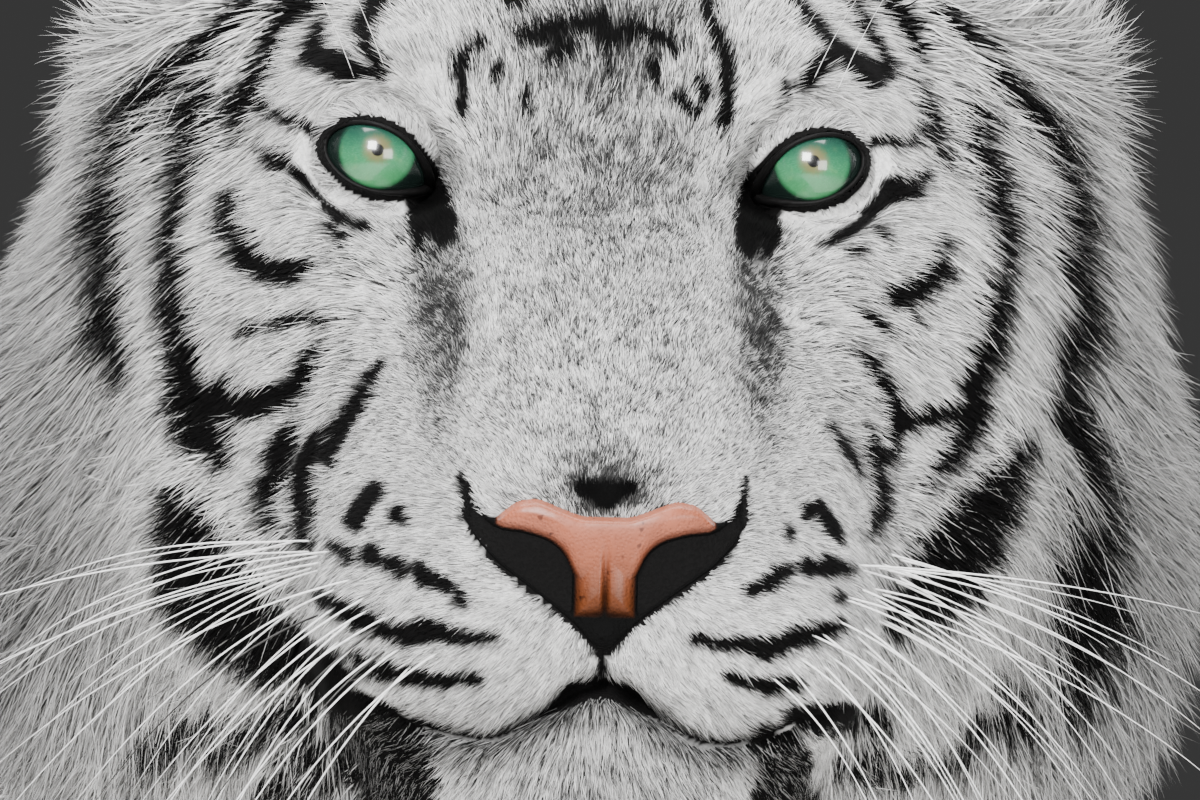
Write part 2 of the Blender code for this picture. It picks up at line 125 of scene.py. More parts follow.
def flattened(vectors, normals):
    """The directions laid on the surface."""
    return unit(vectors - normals * np.sum(vectors * normals, axis=1, keepdims=True))


def turned(along, across, angle):
    """Two distances as seen from axes turned by an angle."""
    c, s = math.cos(angle), math.sin(angle)
    return along * c + across * s, across * c - along * s


def soft_spot(places, right, up, wide, high):
    """1 at a place on either side of the face, fading to 0 round it."""
    away = ((np.abs(places[:, 0]) - right) / wide) ** 2 + ((places[:, 1] - up) / high) ** 2
    return np.exp(-(away**1.5))


def waves(turns):
    """From 0 to 1 and back with each turn."""
    return 0.5 + 0.5 * np.cos(2 * np.pi * turns)


NOISE_SIZE = 32
NOISE_BOX = np.random.default_rng(7).random((NOISE_SIZE,) * 3).astype(np.float32)


def mottle(points, size, offset=0.0):
    """Soft value noise from 0 to 1 whose patches are about size across."""
    p = np.asarray(points, float) / size + 100 + offset
    low = np.floor(p).astype(int)
    t = p - low
    t = t * t * (3 - 2 * t)
    low %= NOISE_SIZE
    high = (low + 1) % NOISE_SIZE
    total = 0
    for a in (0, 1):
        for b in (0, 1):
            for c in (0, 1):
                x, y, z = (high if a else low)[:, 0], (high if b else low)[:, 1], (high if c else low)[:, 2]
                share = (t[:, 0] if a else 1 - t[:, 0]) * (t[:, 1] if b else 1 - t[:, 1])
                total = total + NOISE_BOX[x, y, z] * share * (t[:, 2] if c else 1 - t[:, 2])
    return total


# ---------------------------------------------------------------- materials


class Term:
    """A socket that takes part in Python sums: each operator adds one Math node."""

    def __init__(self, paint, socket):
        self.paint, self.socket = paint, socket

    def maths(self, operation, *terms):
        node = self.paint.node("ShaderNodeMath", {"operation": operation}, dict(enumerate(terms)))
        return Term(self.paint, node.outputs[0])

    __add__ = __radd__ = lambda self, other: self.maths("ADD", self, other)
    __mul__ = __rmul__ = lambda self, other: self.maths("MULTIPLY", self, other)
    __sub__ = lambda self, other: self.maths("SUBTRACT", self, other)
    __rsub__ = lambda self, other: self.maths("SUBTRACT", other, self)
    __truediv__ = lambda self, other: self.maths("DIVIDE", self, other)
    __pow__ = lambda self, other: self.maths("POWER", self, other)

    def step(self, low, high):
        """0 below low, 1 above high, smooth between."""
        settings = {"interpolation_type": "SMOOTHSTEP"}
        inputs = {"Value": self, "From Min": low, "From Max": high, "To Min": 0.0, "To Max": 1.0}
        return Term(self.paint, self.paint.node("ShaderNodeMapRange", settings, inputs).outputs[0])


class Paint:
    """A material and the one way its nodes are made."""

    def __init__(self, name, **constants):
        self.material = bpy.data.materials.new(name)
        self.material.use_nodes = True
        self.tree = self.material.node_tree
        self.surface = self.tree.nodes["Principled BSDF"]
        self.set(self.surface, {key.replace("_", " "): value for key, value in constants.items()})

    def set(self, node, inputs):
        for key, value in inputs.items():
            socket = node.inputs[key]
            value = value.socket if isinstance(value, Term) else value
            if isinstance(value, bpy.types.NodeSocket):
                self.tree.links.new(value, socket)
            else:
                socket.default_value = value

    def node(self, kind, settings=None, inputs=None):
        node = self.tree.nodes.new(kind)
        for key, value in (settings or {}).items():
            setattr(node, key, value)
        self.set(node, inputs or {})
        return node

    def place(self):
        return self.node("ShaderNodeTexCoord").outputs["Object"]

    def grain(self, scale, detail, vector=None):
        """Noise from 0 to 1 on Object coordinates, or along another vector."""
        inputs = {"Vector": vector or self.place(), "Scale": scale, "Detail": detail}
        return Term(self, self.node("ShaderNodeTexNoise", {}, inputs).outputs[0])

    def attribute(self, name):
        return self.node("ShaderNodeAttribute", {"attribute_name": name}).outputs["Color"]

    def mix(self, factor, first, second, blend="MIX"):
        """A colour between first and second."""
        node = self.node("ShaderNodeMix", {"data_type": "RGBA", "blend_type": blend})
        self.set(node, {0: factor, 6: first, 7: second})
        return node.outputs[2]

    def bump(self, height, distance, strength=1.0):
        inputs = {"Height": height, "Distance": distance, "Strength": strength}
        self.set(self.surface, {"Normal": self.node("ShaderNodeBump", {}, inputs).outputs[0]})

    def colour(self, value):
        self.set(self.surface, {"Base Color": value})
        return self.material


def grey(level):
    return (level, level, level, 1.0)


# ---------------------------------------------------------------- settings


class TIGER_PG_coat(bpy.types.PropertyGroup):
    white: FloatVectorProperty(
        name="White", description="Colour of the pale fur", subtype="COLOR", size=3, default=(0.86, 0.855, 0.845)
    )
    black: FloatVectorProperty(
        name="Black", description="Colour of the stripes", subtype="COLOR", size=3, default=(0.0030, 0.0028, 0.0028)
    )
    fullness: FloatProperty(
        name="Fullness", description="How many tufts, against the usual number", default=1.0, min=0.05, max=1.5
    )
    mesh_size: FloatProperty(
        name="Skin mesh size", description="Size of the skin's faces on the body", default=10 * MM, unit="LENGTH"
    )


class TIGER_PG_face(bpy.types.PropertyGroup):
    iris: FloatVectorProperty(
        name="Iris", description="Colour of the iris", subtype="COLOR", size=3, default=(0.032, 0.200, 0.092)
    )
    iris_radius: FloatProperty(
        name="Iris radius", description="Radius of the green of the eye", default=11.7 * MM, unit="LENGTH"
    )
    pupil_radius: FloatProperty(
        name="Pupil radius", description="Radius of the pupil", default=1.9 * MM, unit="LENGTH"
    )
    leather: FloatVectorProperty(
        name="Nose", description="Colour of the nose pad", subtype="COLOR", size=3, default=(0.27, 0.080, 0.042)
    )
    # the pad between the nostrils: in part its own darker leather, in part painted shade
    leather_low: FloatVectorProperty(
        name="Nose, lower", description="Colour of the pad between the nostrils", subtype="COLOR", size=3,
        default=(0.085, 0.022, 0.006),
    )
    whiskers: IntProperty(name="Whiskers", description="Whiskers on each side", default=30, min=4, max=60)
    whisker_length: FloatProperty(
        name="Whisker length", description="Length of the longest whiskers", default=0.17, unit="LENGTH"
    )


class TIGER_PG_stage(bpy.types.PropertyGroup):
    reach: FloatProperty(
        name="Camera distance", description="From the camera to the eyes", default=3.3, unit="LENGTH"
    )
    lens: FloatProperty(name="Lens", description="Focal length", default=330.0, subtype="DISTANCE_CAMERA")
    turn: FloatProperty(
        name="Camera turn", description="Turn about the head", default=math.radians(-2.6), unit="ROTATION"
    )
    roll: FloatProperty(
        name="Camera roll", description="Tilt of the camera", default=math.radians(1.45), unit="ROTATION"
    )


# ---------------------------------------------------------------- the lie, depth and length of the coat

# Per part: how far the skin lies inside the outline, the tufts' length and width, in millimetres
COAT = {
    "head": (10, 26, 1.7),
    "jaw": (4, 12, 1.2),
    "ear": (2, 12, 1.3),
    "neck": (13, 44, 2.2),
    "chest": (9, 30, 2.6),
    "belly": (9, 32, 2.6),
    "rump": (8, 26, 2.6),
    "tail": (6, 22, 2.2),
    "fore_upper": (7, 24, 2.6),
    "fore_lower": (4, 14, 2.4),
    "fore_paw": (2.5, 8, 1.7),
    "hind_upper": (7, 24, 2.6),
    "hind_lower": (4.5, 16, 2.6),
    "hind_shank": (4, 12, 2.2),
    "hind_paw": (2.5, 8, 1.7),
}


def coat_of(node):
    """The coat's depth, length and width on a CAD node."""
    return next(values for part, values in COAT.items() if node.startswith(part))


# Places on the head where the coat is short or long: right, up, forward, reach, depth, length, width in millimetres
HEAD_COAT = (
    (0, -60, 60, 62, 2.0, 3.6, 0.52),
    (0, -110, 100, 50, 1.6, 2.8, 0.48),
    (0, -20, 20, 50, 2.5, 6.0, 0.52),
    (0, 60, -10, 70, 4.0, 10.0, 0.62),
    (64, 0, 0, 40, 2.2, 6.0, 0.50),
    (45, -140, 85, 48, 3.0, 8.5, 0.52),
    (0, -180, 85, 45, 4.0, 10.0, 0.58),
    (85, -70, 10, 60, 4.5, 12.0, 0.60),
    (75, 50, -20, 50, 4.0, 12.0, 0.62),
    (120, -20, -40, 45, 7.0, 20.0, 0.40),
    (110, -130, -10, 55, 8.0, 22.0, 0.40),
    (150, -110, -80, 75, 13.0, 42.0, 0.36),
    (150, -10, -110, 60, 12.0, 36.0, 0.36),
    (60, -190, 0, 60, 10.0, 26.0, 0.46),
    (60, 80, -90, 60, 6.0, 16.0, 0.9),
    (110, -150, -150, 90, 14.0, 44.0, 0.55),
    (0, -190, -60, 80, 11.0, 32.0, 0.6),
)


def head_coat(places):
    """Depth, length and width of the coat at places on the head, blended from the nearest of HEAD_COAT."""
    mirrored = np.abs(places) * (1, 0, 0) + places * (0, 1, 1)
    total = np.zeros((len(places), 3))
    weights = np.zeros((len(places), 1))
    for right, up, forward, reach, *values in HEAD_COAT:
        away = np.linalg.norm(mirrored - (right, up, forward), axis=1, keepdims=True) / reach
        weight = np.exp(-2.2 * away**2) + 1e-9 / (1 + away**4)
        total += weight * values
        weights += weight
    return total / weights


# How high above the floor the hair begins to run down each kind of leg, and how far apart its toes are
LEG_TOPS = {"fore": 0.52, "hind": 0.46}
TOE_GAPS = {"fore": 37 * MM, "hind": 34 * MM}
PAWS = {f"{kind}_paw_{side}": gap for kind, gap in TOE_GAPS.items() for side in ("left", "right")}
TAIL = np.array([middle(f"tail_{number}") for number in (1, 2, 3, 4)])


def lie(points, normals, node_names):
    """The way the hair points: away from the nose, back along the trunk, down the legs and along the tail."""
    places = to_head(points)
    away = points - from_head(NOSE_TIP[None])
    on_head = 1 - ramp(np.linalg.norm(away, axis=1), 0.26, 0.55)[:, None]
    back = unit(unit(away) * on_head + np.array((0.0, 1.0, -0.35)) * (1 - on_head))
    droop = ramp(-places[:, 1], 40, 170) * ramp(-places[:, 2], -60, 60) * 0.45
    droop += 1.15 * ramp(np.abs(places[:, 0]), 36, 85) * (0.45 + 0.55 * ramp(places[:, 1], -110, -40))
    back[:, 2] -= droop * on_head[:, 0]
    leg = np.zeros(len(points))
    for kind, top in LEG_TOPS.items():
        leg = np.where(np.char.startswith(node_names, kind), ramp(top + 0.12 - points[:, 2], 0, 0.2), leg)
    foot = ramp(0.13 - points[:, 2], 0, 0.08) * leg
    down = np.stack((np.zeros_like(leg), -0.9 * foot, -1 + 0.6 * foot), axis=1)
    flow = back * (1 - leg[:, None]) + unit(down) * leg[:, None]
    tail = np.char.startswith(node_names, "tail")
    gaps = np.linalg.norm(points[tail][:, None] - (TAIL[1:] + TAIL[:-1])[None] / 2, axis=2)
    share = np.exp(-((gaps / 0.11) ** 2)) + 1e-6
    flow[tail] = unit(share @ unit(TAIL[1:] - TAIL[:-1]))
    ears = np.char.startswith(node_names, "ear")
    flow[ears] = unit(flow[ears] * (0.4, 0.4, 0.4) + (0, 0, 1.0))
    return flattened(flow, normals)


# ---------------------------------------------------------------- skin


def gathered(things, field, width, kind=int):
    """A field of all vertices, edges, loops or triangles of a mesh as one array."""
    values = np.empty(len(things) * width, kind)
    things.foreach_get(field, values)
    return values.reshape(-1, width)


def mesh_arrays(mesh):
    """Vertex places, triangle corners and each corner's loop, as arrays."""
    mesh.calc_loop_triangles()
    triangles = mesh.loop_triangles
    corners, loops = (gathered(triangles, field, 3) for field in ("vertices", "loops"))
    return gathered(mesh.vertices, "co", 3, float), corners, loops


def edge_pairs(mesh):
    return gathered(mesh.edges, "vertices", 2)


def finished(bm, name, smooth=True):
    """The bmesh as a mesh; the bmesh itself is freed."""
    mesh = bpy.data.meshes.new(name)
    bm.to_mesh(mesh)
    bm.free()
    mesh.polygons.foreach_set("use_smooth", np.full(len(mesh.polygons), smooth))
    return mesh


def placed(name, data):
    """A new object in the scene."""
    obj = bpy.data.objects.new(name, data)
    bpy.context.scene.collection.objects.link(obj)
    return obj


def evaluated(holder):
    """The mesh that an object's modifiers or curve make; the object itself is removed."""
    made = bpy.data.meshes.new_from_object(holder.evaluated_get(bpy.context.evaluated_depsgraph_get()))
    bpy.data.objects.remove(holder)
    return made


def put(mesh, places):
    mesh.vertices.foreach_set("co", places.ravel())
    mesh.update()


def relaxed(values, pairs, rounds, strength=0.5, back=0.0, mask=None):
    """Values at the vertices drawn towards their neighbours', with a step back that keeps the volume."""
    values = np.array(values, float)
    flat = values.ndim == 1
    if flat:
        values = values[:, None]
    first, second = pairs[:, 0], pairs[:, 1]
    size = len(values)
    counts = np.maximum(np.bincount(first, minlength=size) + np.bincount(second, minlength=size), 1)[:, None]
    weight = 1.0 if mask is None else np.asarray(mask, float)[:, None]
    for _ in range(rounds):
        for step in (strength, back):
            if step:
                mean = np.empty_like(values)
                for axis in range(values.shape[1]):
                    column = values[:, axis]
                    mean[:, axis] = np.bincount(first, column[second], size)
                    mean[:, axis] += np.bincount(second, column[first], size)
                values += (mean / counts - values) * step * weight
    return values[:, 0] if flat else values


def surface_normals(places, corners):
    """Smooth normals at the vertices."""
    a, b, c = (places[corners[:, i]] for i in range(3))
    face = np.cross(b - a, c - a)
    total = np.zeros_like(places)
    for i in range(3):
        for axis in range(3):
            total[:, axis] += np.bincount(corners[:, i], face[:, axis], len(places))
    return unit(total)


def flesh():
    """Merged copies of the nodes of flesh as one mesh, and a tree that tells which node is nearest."""
    bm = bmesh.new()
    owners = []
    for name in FLESH:
        bm.from_mesh(frame["nodes"][name].data)
        owners += [name] * (len(bm.faces) - len(owners))
    tree = BVHTree.FromBMesh(bm)
    bmesh.ops.remove_doubles(bm, verts=bm.verts, dist=1e-6)
    return finished(bm, "flesh"), tree, owners


def nearest_nodes(points, tree, owners):
    return [owners[tree.find_nearest(Vector(point))[2]] for point in points]


def remeshed(mesh, size):
    """The mesh as one closed surface of even faces."""
    holder = placed("remesh", mesh)
    modifier = holder.modifiers.new("Remesh", "REMESH")
    modifier.mode = "VOXEL"
    modifier.voxel_size = size
    return evaluated(holder)


def refined(mesh, chosen):
    """The mesh with the chosen vertices' faces cut in four."""
    bm = bmesh.new()
    bm.from_mesh(mesh)
    bm.verts.ensure_lookup_table()
    picked = [face for face in bm.faces if all(chosen[v.index] for v in face.verts)]
    edges = list({edge for face in picked for edge in face.edges})
    bmesh.ops.subdivide_edges(bm, edges=edges, cuts=1, use_grid_fill=True)
    bm.to_mesh(mesh)
    bm.free()


def beside(places, right, up, forward, radii):
    """Distance from a place on the head on either side, where 1 is the edge of an ellipsoid of these radii."""
    same = np.ones(len(places))
    middles = np.stack((np.sign(places[:, 0]) * right, same * up, same * forward), 1)
    return np.linalg.norm((places - middles) / radii, axis=1)


# Soft pushes on the face in millimetres: place, radii, then the push right, up and forward (mirrored)
PUSHES = (
    (26, 8, 8, 13, 22, 30, -2.0, 0, 3.0),
    (64, 30, 0, 30, 10, 30, 0, 1.0, 4.0),
    (0, -40, 60, 16, 40, 40, 0, 0, 1.5),
    (38, -60, 30, 9, 34, 30, -1.5, 0, -3.5),
    (46, -118, 70, 16, 14, 26, 1, 0, -2.5),
    (40, -142, 100, 24, 18, 26, 1, -1, 3.0),
    (0, -178, 95, 24, 12, 20, 0, 0, 2.5),
)
# How far the clear front of the eye bulges, and out to what radius
BULGE = 1.6 * MM
BULGE_REACH = 13 * MM
# The slant of the eye's opening, half its length and height, and its middle, in millimetres
LID_TURN = math.radians(20)
LID_OPENING = (15.0, 9.7)
LID_CENTRE = (66.6, -0.2)
# How far over the eyeball the lids' skin and the middle of their wet rims lie
LID_DEPTH = 1.7
RIM_DEPTH = 0.9


def ball_front(off, over):
    """How far forward the front of the eyeball lies, and over more, at a distance off its middle, in millimetres."""
    ball = np.sqrt(np.maximum((EYE_RADIUS / MM + over) ** 2 - off**2, 4.0)) - EYE_DEPTH
    return ball + BULGE / MM * np.maximum(1 - (off * MM / BULGE_REACH) ** 2, 0)


def eye_frame(places):
    """Places along and across the slanted opening of the nearer eye, in millimetres."""
    outward = np.abs(places[:, 0]) - LID_CENTRE[0]
    up = places[:, 1] - LID_CENTRE[1]
    return turned(outward, up, LID_TURN)


def lid_edge(angle):
    """The opening's edge at an angle round it: along and across, in millimetres; the inner corner is drawn out."""
    long, high = LID_OPENING
    inner = np.clip(-np.cos(angle), 0, 1) ** 6
    return long * np.cos(angle) - 4.0 * inner, high * np.sin(angle) - 1.5 * inner


def lid_reach(places):
    """Distance in millimetres beyond the edge of the nearer eye's opening, negative within it."""
    along, across = eye_frame(places)
    angle = np.arctan2(across / LID_OPENING[1], along / LID_OPENING[0])
    return np.hypot(along, across) - np.hypot(*lid_edge(angle))


def lid_black(places):
    """Distance in millimetres beyond the black skin of the lids, which is broader below than above."""
    along, across = eye_frame(places)
    return lid_reach(places) - 1.9 + 0.6 * across / np.maximum(np.hypot(along, across), 1)


# The line between the lips: distance from the middle and height, in millimetres
LIPS = (
    (0, -153), (4, -153.5), (8, -155.5), (13, -159), (20, -164), (29, -168), (38, -168), (50, -165), (68, -155),
    (80, -146),
)


def mouth_line(right):
    """How high the line between the lips lies at this distance from the middle, in millimetres."""
    return along_line(LIPS, np.abs(right))


def by_mouth(places, ahead, near, wider, corner):
    """True near the line between the lips, and within wider millimetres more at its middle."""
    away = np.abs(places[:, 0])
    reach = near + wider * (1 - ramp(away, corner, corner + 12))
    return (places[:, 2] > ahead) & (np.abs(places[:, 1] - mouth_line(away)) < reach) & (away < 60)


def sculpted(places):
    """The face's finer forms on the skin, in head millimetres."""
    places = places.copy()
    side = np.sign(places[:, 0])
    front = ramp(places[:, 2], -80, -30)
    for right, up, forward, wide, high, deep, *push in PUSHES:
        near = np.exp(-2 * beside(places, right, up, forward, (wide, high, deep)) ** 2)
        places += near[:, None] * np.stack((side * push[0], near * 0 + push[1], near * 0 + push[2]), 1)
    # the ruff lies flatter beside the right temple
    places[:, 0] += 13.0 * np.exp(-(np.linalg.norm((places - (-170, 45, -150)) / (80, 95, 120), axis=1) ** 2))
    # the lids lie on the eyeballs and fall away into the sockets
    reach = lid_reach(places)
    ball = ball_front(np.hypot(np.abs(places[:, 0]) - EYES["left"].x / MM, places[:, 1]), LID_DEPTH)
    share = (1 - ramp(reach, 1.0, 13.0)) * front
    lid = ball - 0.10 * np.clip(reach, 0, 20) ** 1.2
    places[:, 2] += (lid - places[:, 2]) * np.where(reach >= 0, share, 0)
    inside = (reach < 0) & (front > 0.2)
    places[inside, 2] = np.minimum(places[inside, 2], -8.5) - 4.0
    # the groove under the nose and the line of the mouth
    groove = np.exp(-((places[:, 0] / 2.2) ** 2)) * ramp(places[:, 1], -158, -150)
    groove *= 1 - ramp(places[:, 1], -146, -138)
    places[:, 2] -= 3.5 * groove * ramp(places[:, 2], 70, 90)
    gap = places[:, 1] - mouth_line(places[:, 0])
    centre = 1 - ramp(np.abs(places[:, 0]), 8, 20)
    mouth = np.exp(-((gap / (2.2 + 1.4 * centre)) ** 2)) * (1 - ramp(np.abs(places[:, 0]), 55, 78))
    places[:, 2] -= (4.0 + 5.0 * centre) * mouth * ramp(places[:, 2], 20, 50)
    return places


# The skin's mesh with its fields, and the function that gives how far forward it lies, once they are made
SKIN = {}


def finer(at, level):
    """The parts of the head whose faces are cut finer, level by level: the face, its middle, the eyes and mouth."""
    away, up, forward = np.abs(at[:, 0]), at[:, 1], at[:, 2]
    if level == 0:
        toes_and_soles = (up < -890) & ((forward < -240) & (forward > -470) | (forward < -1170) & (forward > -1400))
        return (forward > -110) & (away < 165) & (up > -230) & (up < 130) | toes_and_soles
    if level == 1:
        return (forward > -45) & (away < 112) & (up > -200) & (up < 75)
    along, across = eye_frame(at)
    eyes = (np.hypot(along / 30, across / 23) < 1) & (forward > -40)
    return eyes | ((away < 60) & (up < -145) & (up > -176) & (forward > 60))


def coat_values(places, names):
    """The coat's depth, length and width at places on the animal, in millimetres."""
    values = np.array([coat_of(name) for name in names], float)
    at = to_head(places)
    on_face = ramp(at[:, 2], -230, -150) * np.isin(names, HEAD_NODES[:3])
    values += (head_coat(at) - values) * on_face[:, None]
    return values + ear_hollow(at, np.array(names))[:, None] * (0, 18, -0.7)


def ear_hollow(places, names):
    """1 in the hollow of an ear, 0 on its back."""
    return ramp(ear_places(places)[2], 0, 6) * np.char.startswith(names, "ear")


# The grooves between the toes: how far they draw the skin back and down, and half their width
TOE_BACK = 10 * MM
TOE_DOWN = 7 * MM
TOE_WIDTH = 5.5 * MM


def toes(places):
    """The grooves between the toes of each paw."""
    places = places.copy()
    for node, apart in PAWS.items():
        low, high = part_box(node)
        across = places[:, 0] - (low.x + high.x) / 2
        deep = (1 - ramp(places[:, 1] - low.y, 0.05, 0.10)) * (1 - ramp(places[:, 2], 0.07, 0.10))
        deep *= (np.abs(across) < (high.x - low.x) / 2 + 0.01) & (places[:, 1] > low.y - 0.02)
        for gap in (-1, 0, 1):
            groove = deep * np.exp(-(((across - gap * apart) / TOE_WIDTH) ** 2))
            places[:, 1] += TOE_BACK * groove
            places[:, 2] -= TOE_DOWN * groove * ramp(places[:, 2], 0.02, 0.05)
    return places


# Hollows between the muscles of the side: places along and up the body, depth and half width, in millimetres
HOLLOWS = (
    (((-150, 800), (-185, 690), (-235, 590), (-290, 520)), 20, 34),
    (((-480, 830), (-455, 720), (-440, 610)), 14, 32),
    (((-330, 840), (-365, 760)), 8, 16),
    (((-255, 500), (-300, 430)), 13, 20),
    (((255, 760), (235, 640), (215, 540)), 20, 38),
    (((560, 770), (575, 640), (560, 560)), 12, 26),
    (((400, 600), (430, 520), (470, 470)), 10, 24),
    (((0, 560), (120, 575)), 6, 40),
)


def muscled(places, normals):
    """The skin drawn in along the hollows of shoulder, flank and thigh, on the outer sides alone."""
    at = places[:, 1:] / MM
    outer = np.clip(normals[:, 0] * np.sign(places[:, 0]), 0, 1) * ramp(np.abs(places[:, 0]), 0.04, 0.10)
    places = places.copy()
    for line, depth, wide in HOLLOWS:
        gap = stroke_gap(at, [[(along, up, 0.0) for along, up in line]])
        places[:, 0] -= np.sign(places[:, 0]) * outer * depth * MM * np.exp(-((gap / wide) ** 2))
    return places


def build_skin(size):
    """The skin's mesh with its fields: the coat's length, width and lie at each vertex."""
    mesh, tree, owners = flesh()
    mesh = remeshed(mesh, size)
    places, corners, _ = mesh_arrays(mesh)
    pairs = edge_pairs(mesh)
    fine = np.array([name.startswith("ear") or "paw" in name for name in nearest_nodes(places, tree, owners)])
    calm = np.where(fine, 0.35, 1.0)
    places = relaxed(places, pairs, 8, 0.5, -0.52, calm)
    names = nearest_nodes(places, tree, owners)
    depth = relaxed(coat_values(places, names)[:, 0], pairs, 6)
    places -= surface_normals(places, corners) * depth[:, None] * MM
    places = relaxed(places, pairs, 2, 0.4, -0.41, calm)
    put(mesh, places)
    for level, rounds in enumerate((3, 3, 2)):
        refined(mesh, finer(to_head(places), level))
        places, corners, _ = mesh_arrays(mesh)
        mask = relaxed(finer(to_head(places), level), edge_pairs(mesh), 2)
        places = relaxed(places, edge_pairs(mesh), rounds, 0.5, -0.52, mask)
        put(mesh, places)
    places = toes(from_head(sculpted(to_head(places))))
    places = muscled(places, surface_normals(places, corners))
    put(mesh, places)
    pairs = edge_pairs(mesh)
    normals = surface_normals(places, corners)
    names = nearest_nodes(places, tree, owners)
    values = relaxed(coat_values(places, names), pairs, 12)
    flow = relaxed(lie(places, normals, names), pairs, 10)
    SKIN.update(mesh=mesh, names=np.array(names), values=values, flow=flattened(flow, normals), normals=normals)
    bpy.data.meshes.remove(bpy.data.meshes["flesh"])
    return mesh


def unwrapped(obj):
    """An unwrap of the skin's own shape, named OFBake."""
    obj.data.uv_layers.new(name="OFBake")
    bpy.context.view_layer.objects.active = obj
    obj.select_set(True)
    bpy.ops.object.mode_set(mode="EDIT")
    bpy.ops.mesh.select_all(action="SELECT")
    bpy.ops.uv.smart_project(angle_limit=math.radians(66), island_margin=0.001)
    bpy.ops.object.mode_set(mode="OBJECT")
    obj.select_set(False)


def shown(name, mesh, material):
    """A finished piece that rides on the body."""
    obj = placed(name, mesh)
    mesh.materials.clear()
    mesh.materials.append(material)
    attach(obj, BODY)
    return obj


def tint(mesh, colours):
    layer = mesh.color_attributes.new("tint", "FLOAT_COLOR", "POINT")
    layer.data.foreach_set("color", np.concatenate((colours, np.ones((len(colours), 1))), axis=1).ravel())


# ---------------------------------------------------------------- markings and painted shade


def stroke_gap(places, strokes):
    """Distance from each place to the nearest mark's edge, in millimetres, negative within it."""
    gap = np.full(len(places), 99.0)
    for stroke in strokes:
        for (ax, ay, aw), (bx, by, bw) in zip(stroke, stroke[1:]):
            along = np.array((bx - ax, by - ay))
            offset = places[:, :2] - (ax, ay)
            share = np.clip(offset @ along / max(along @ along, 1e-6), 0, 1)
            distance = np.linalg.norm(offset - share[:, None] * along, axis=1)
            gap = np.minimum(gap, distance - (aw + (bw - aw) * share))
    return gap


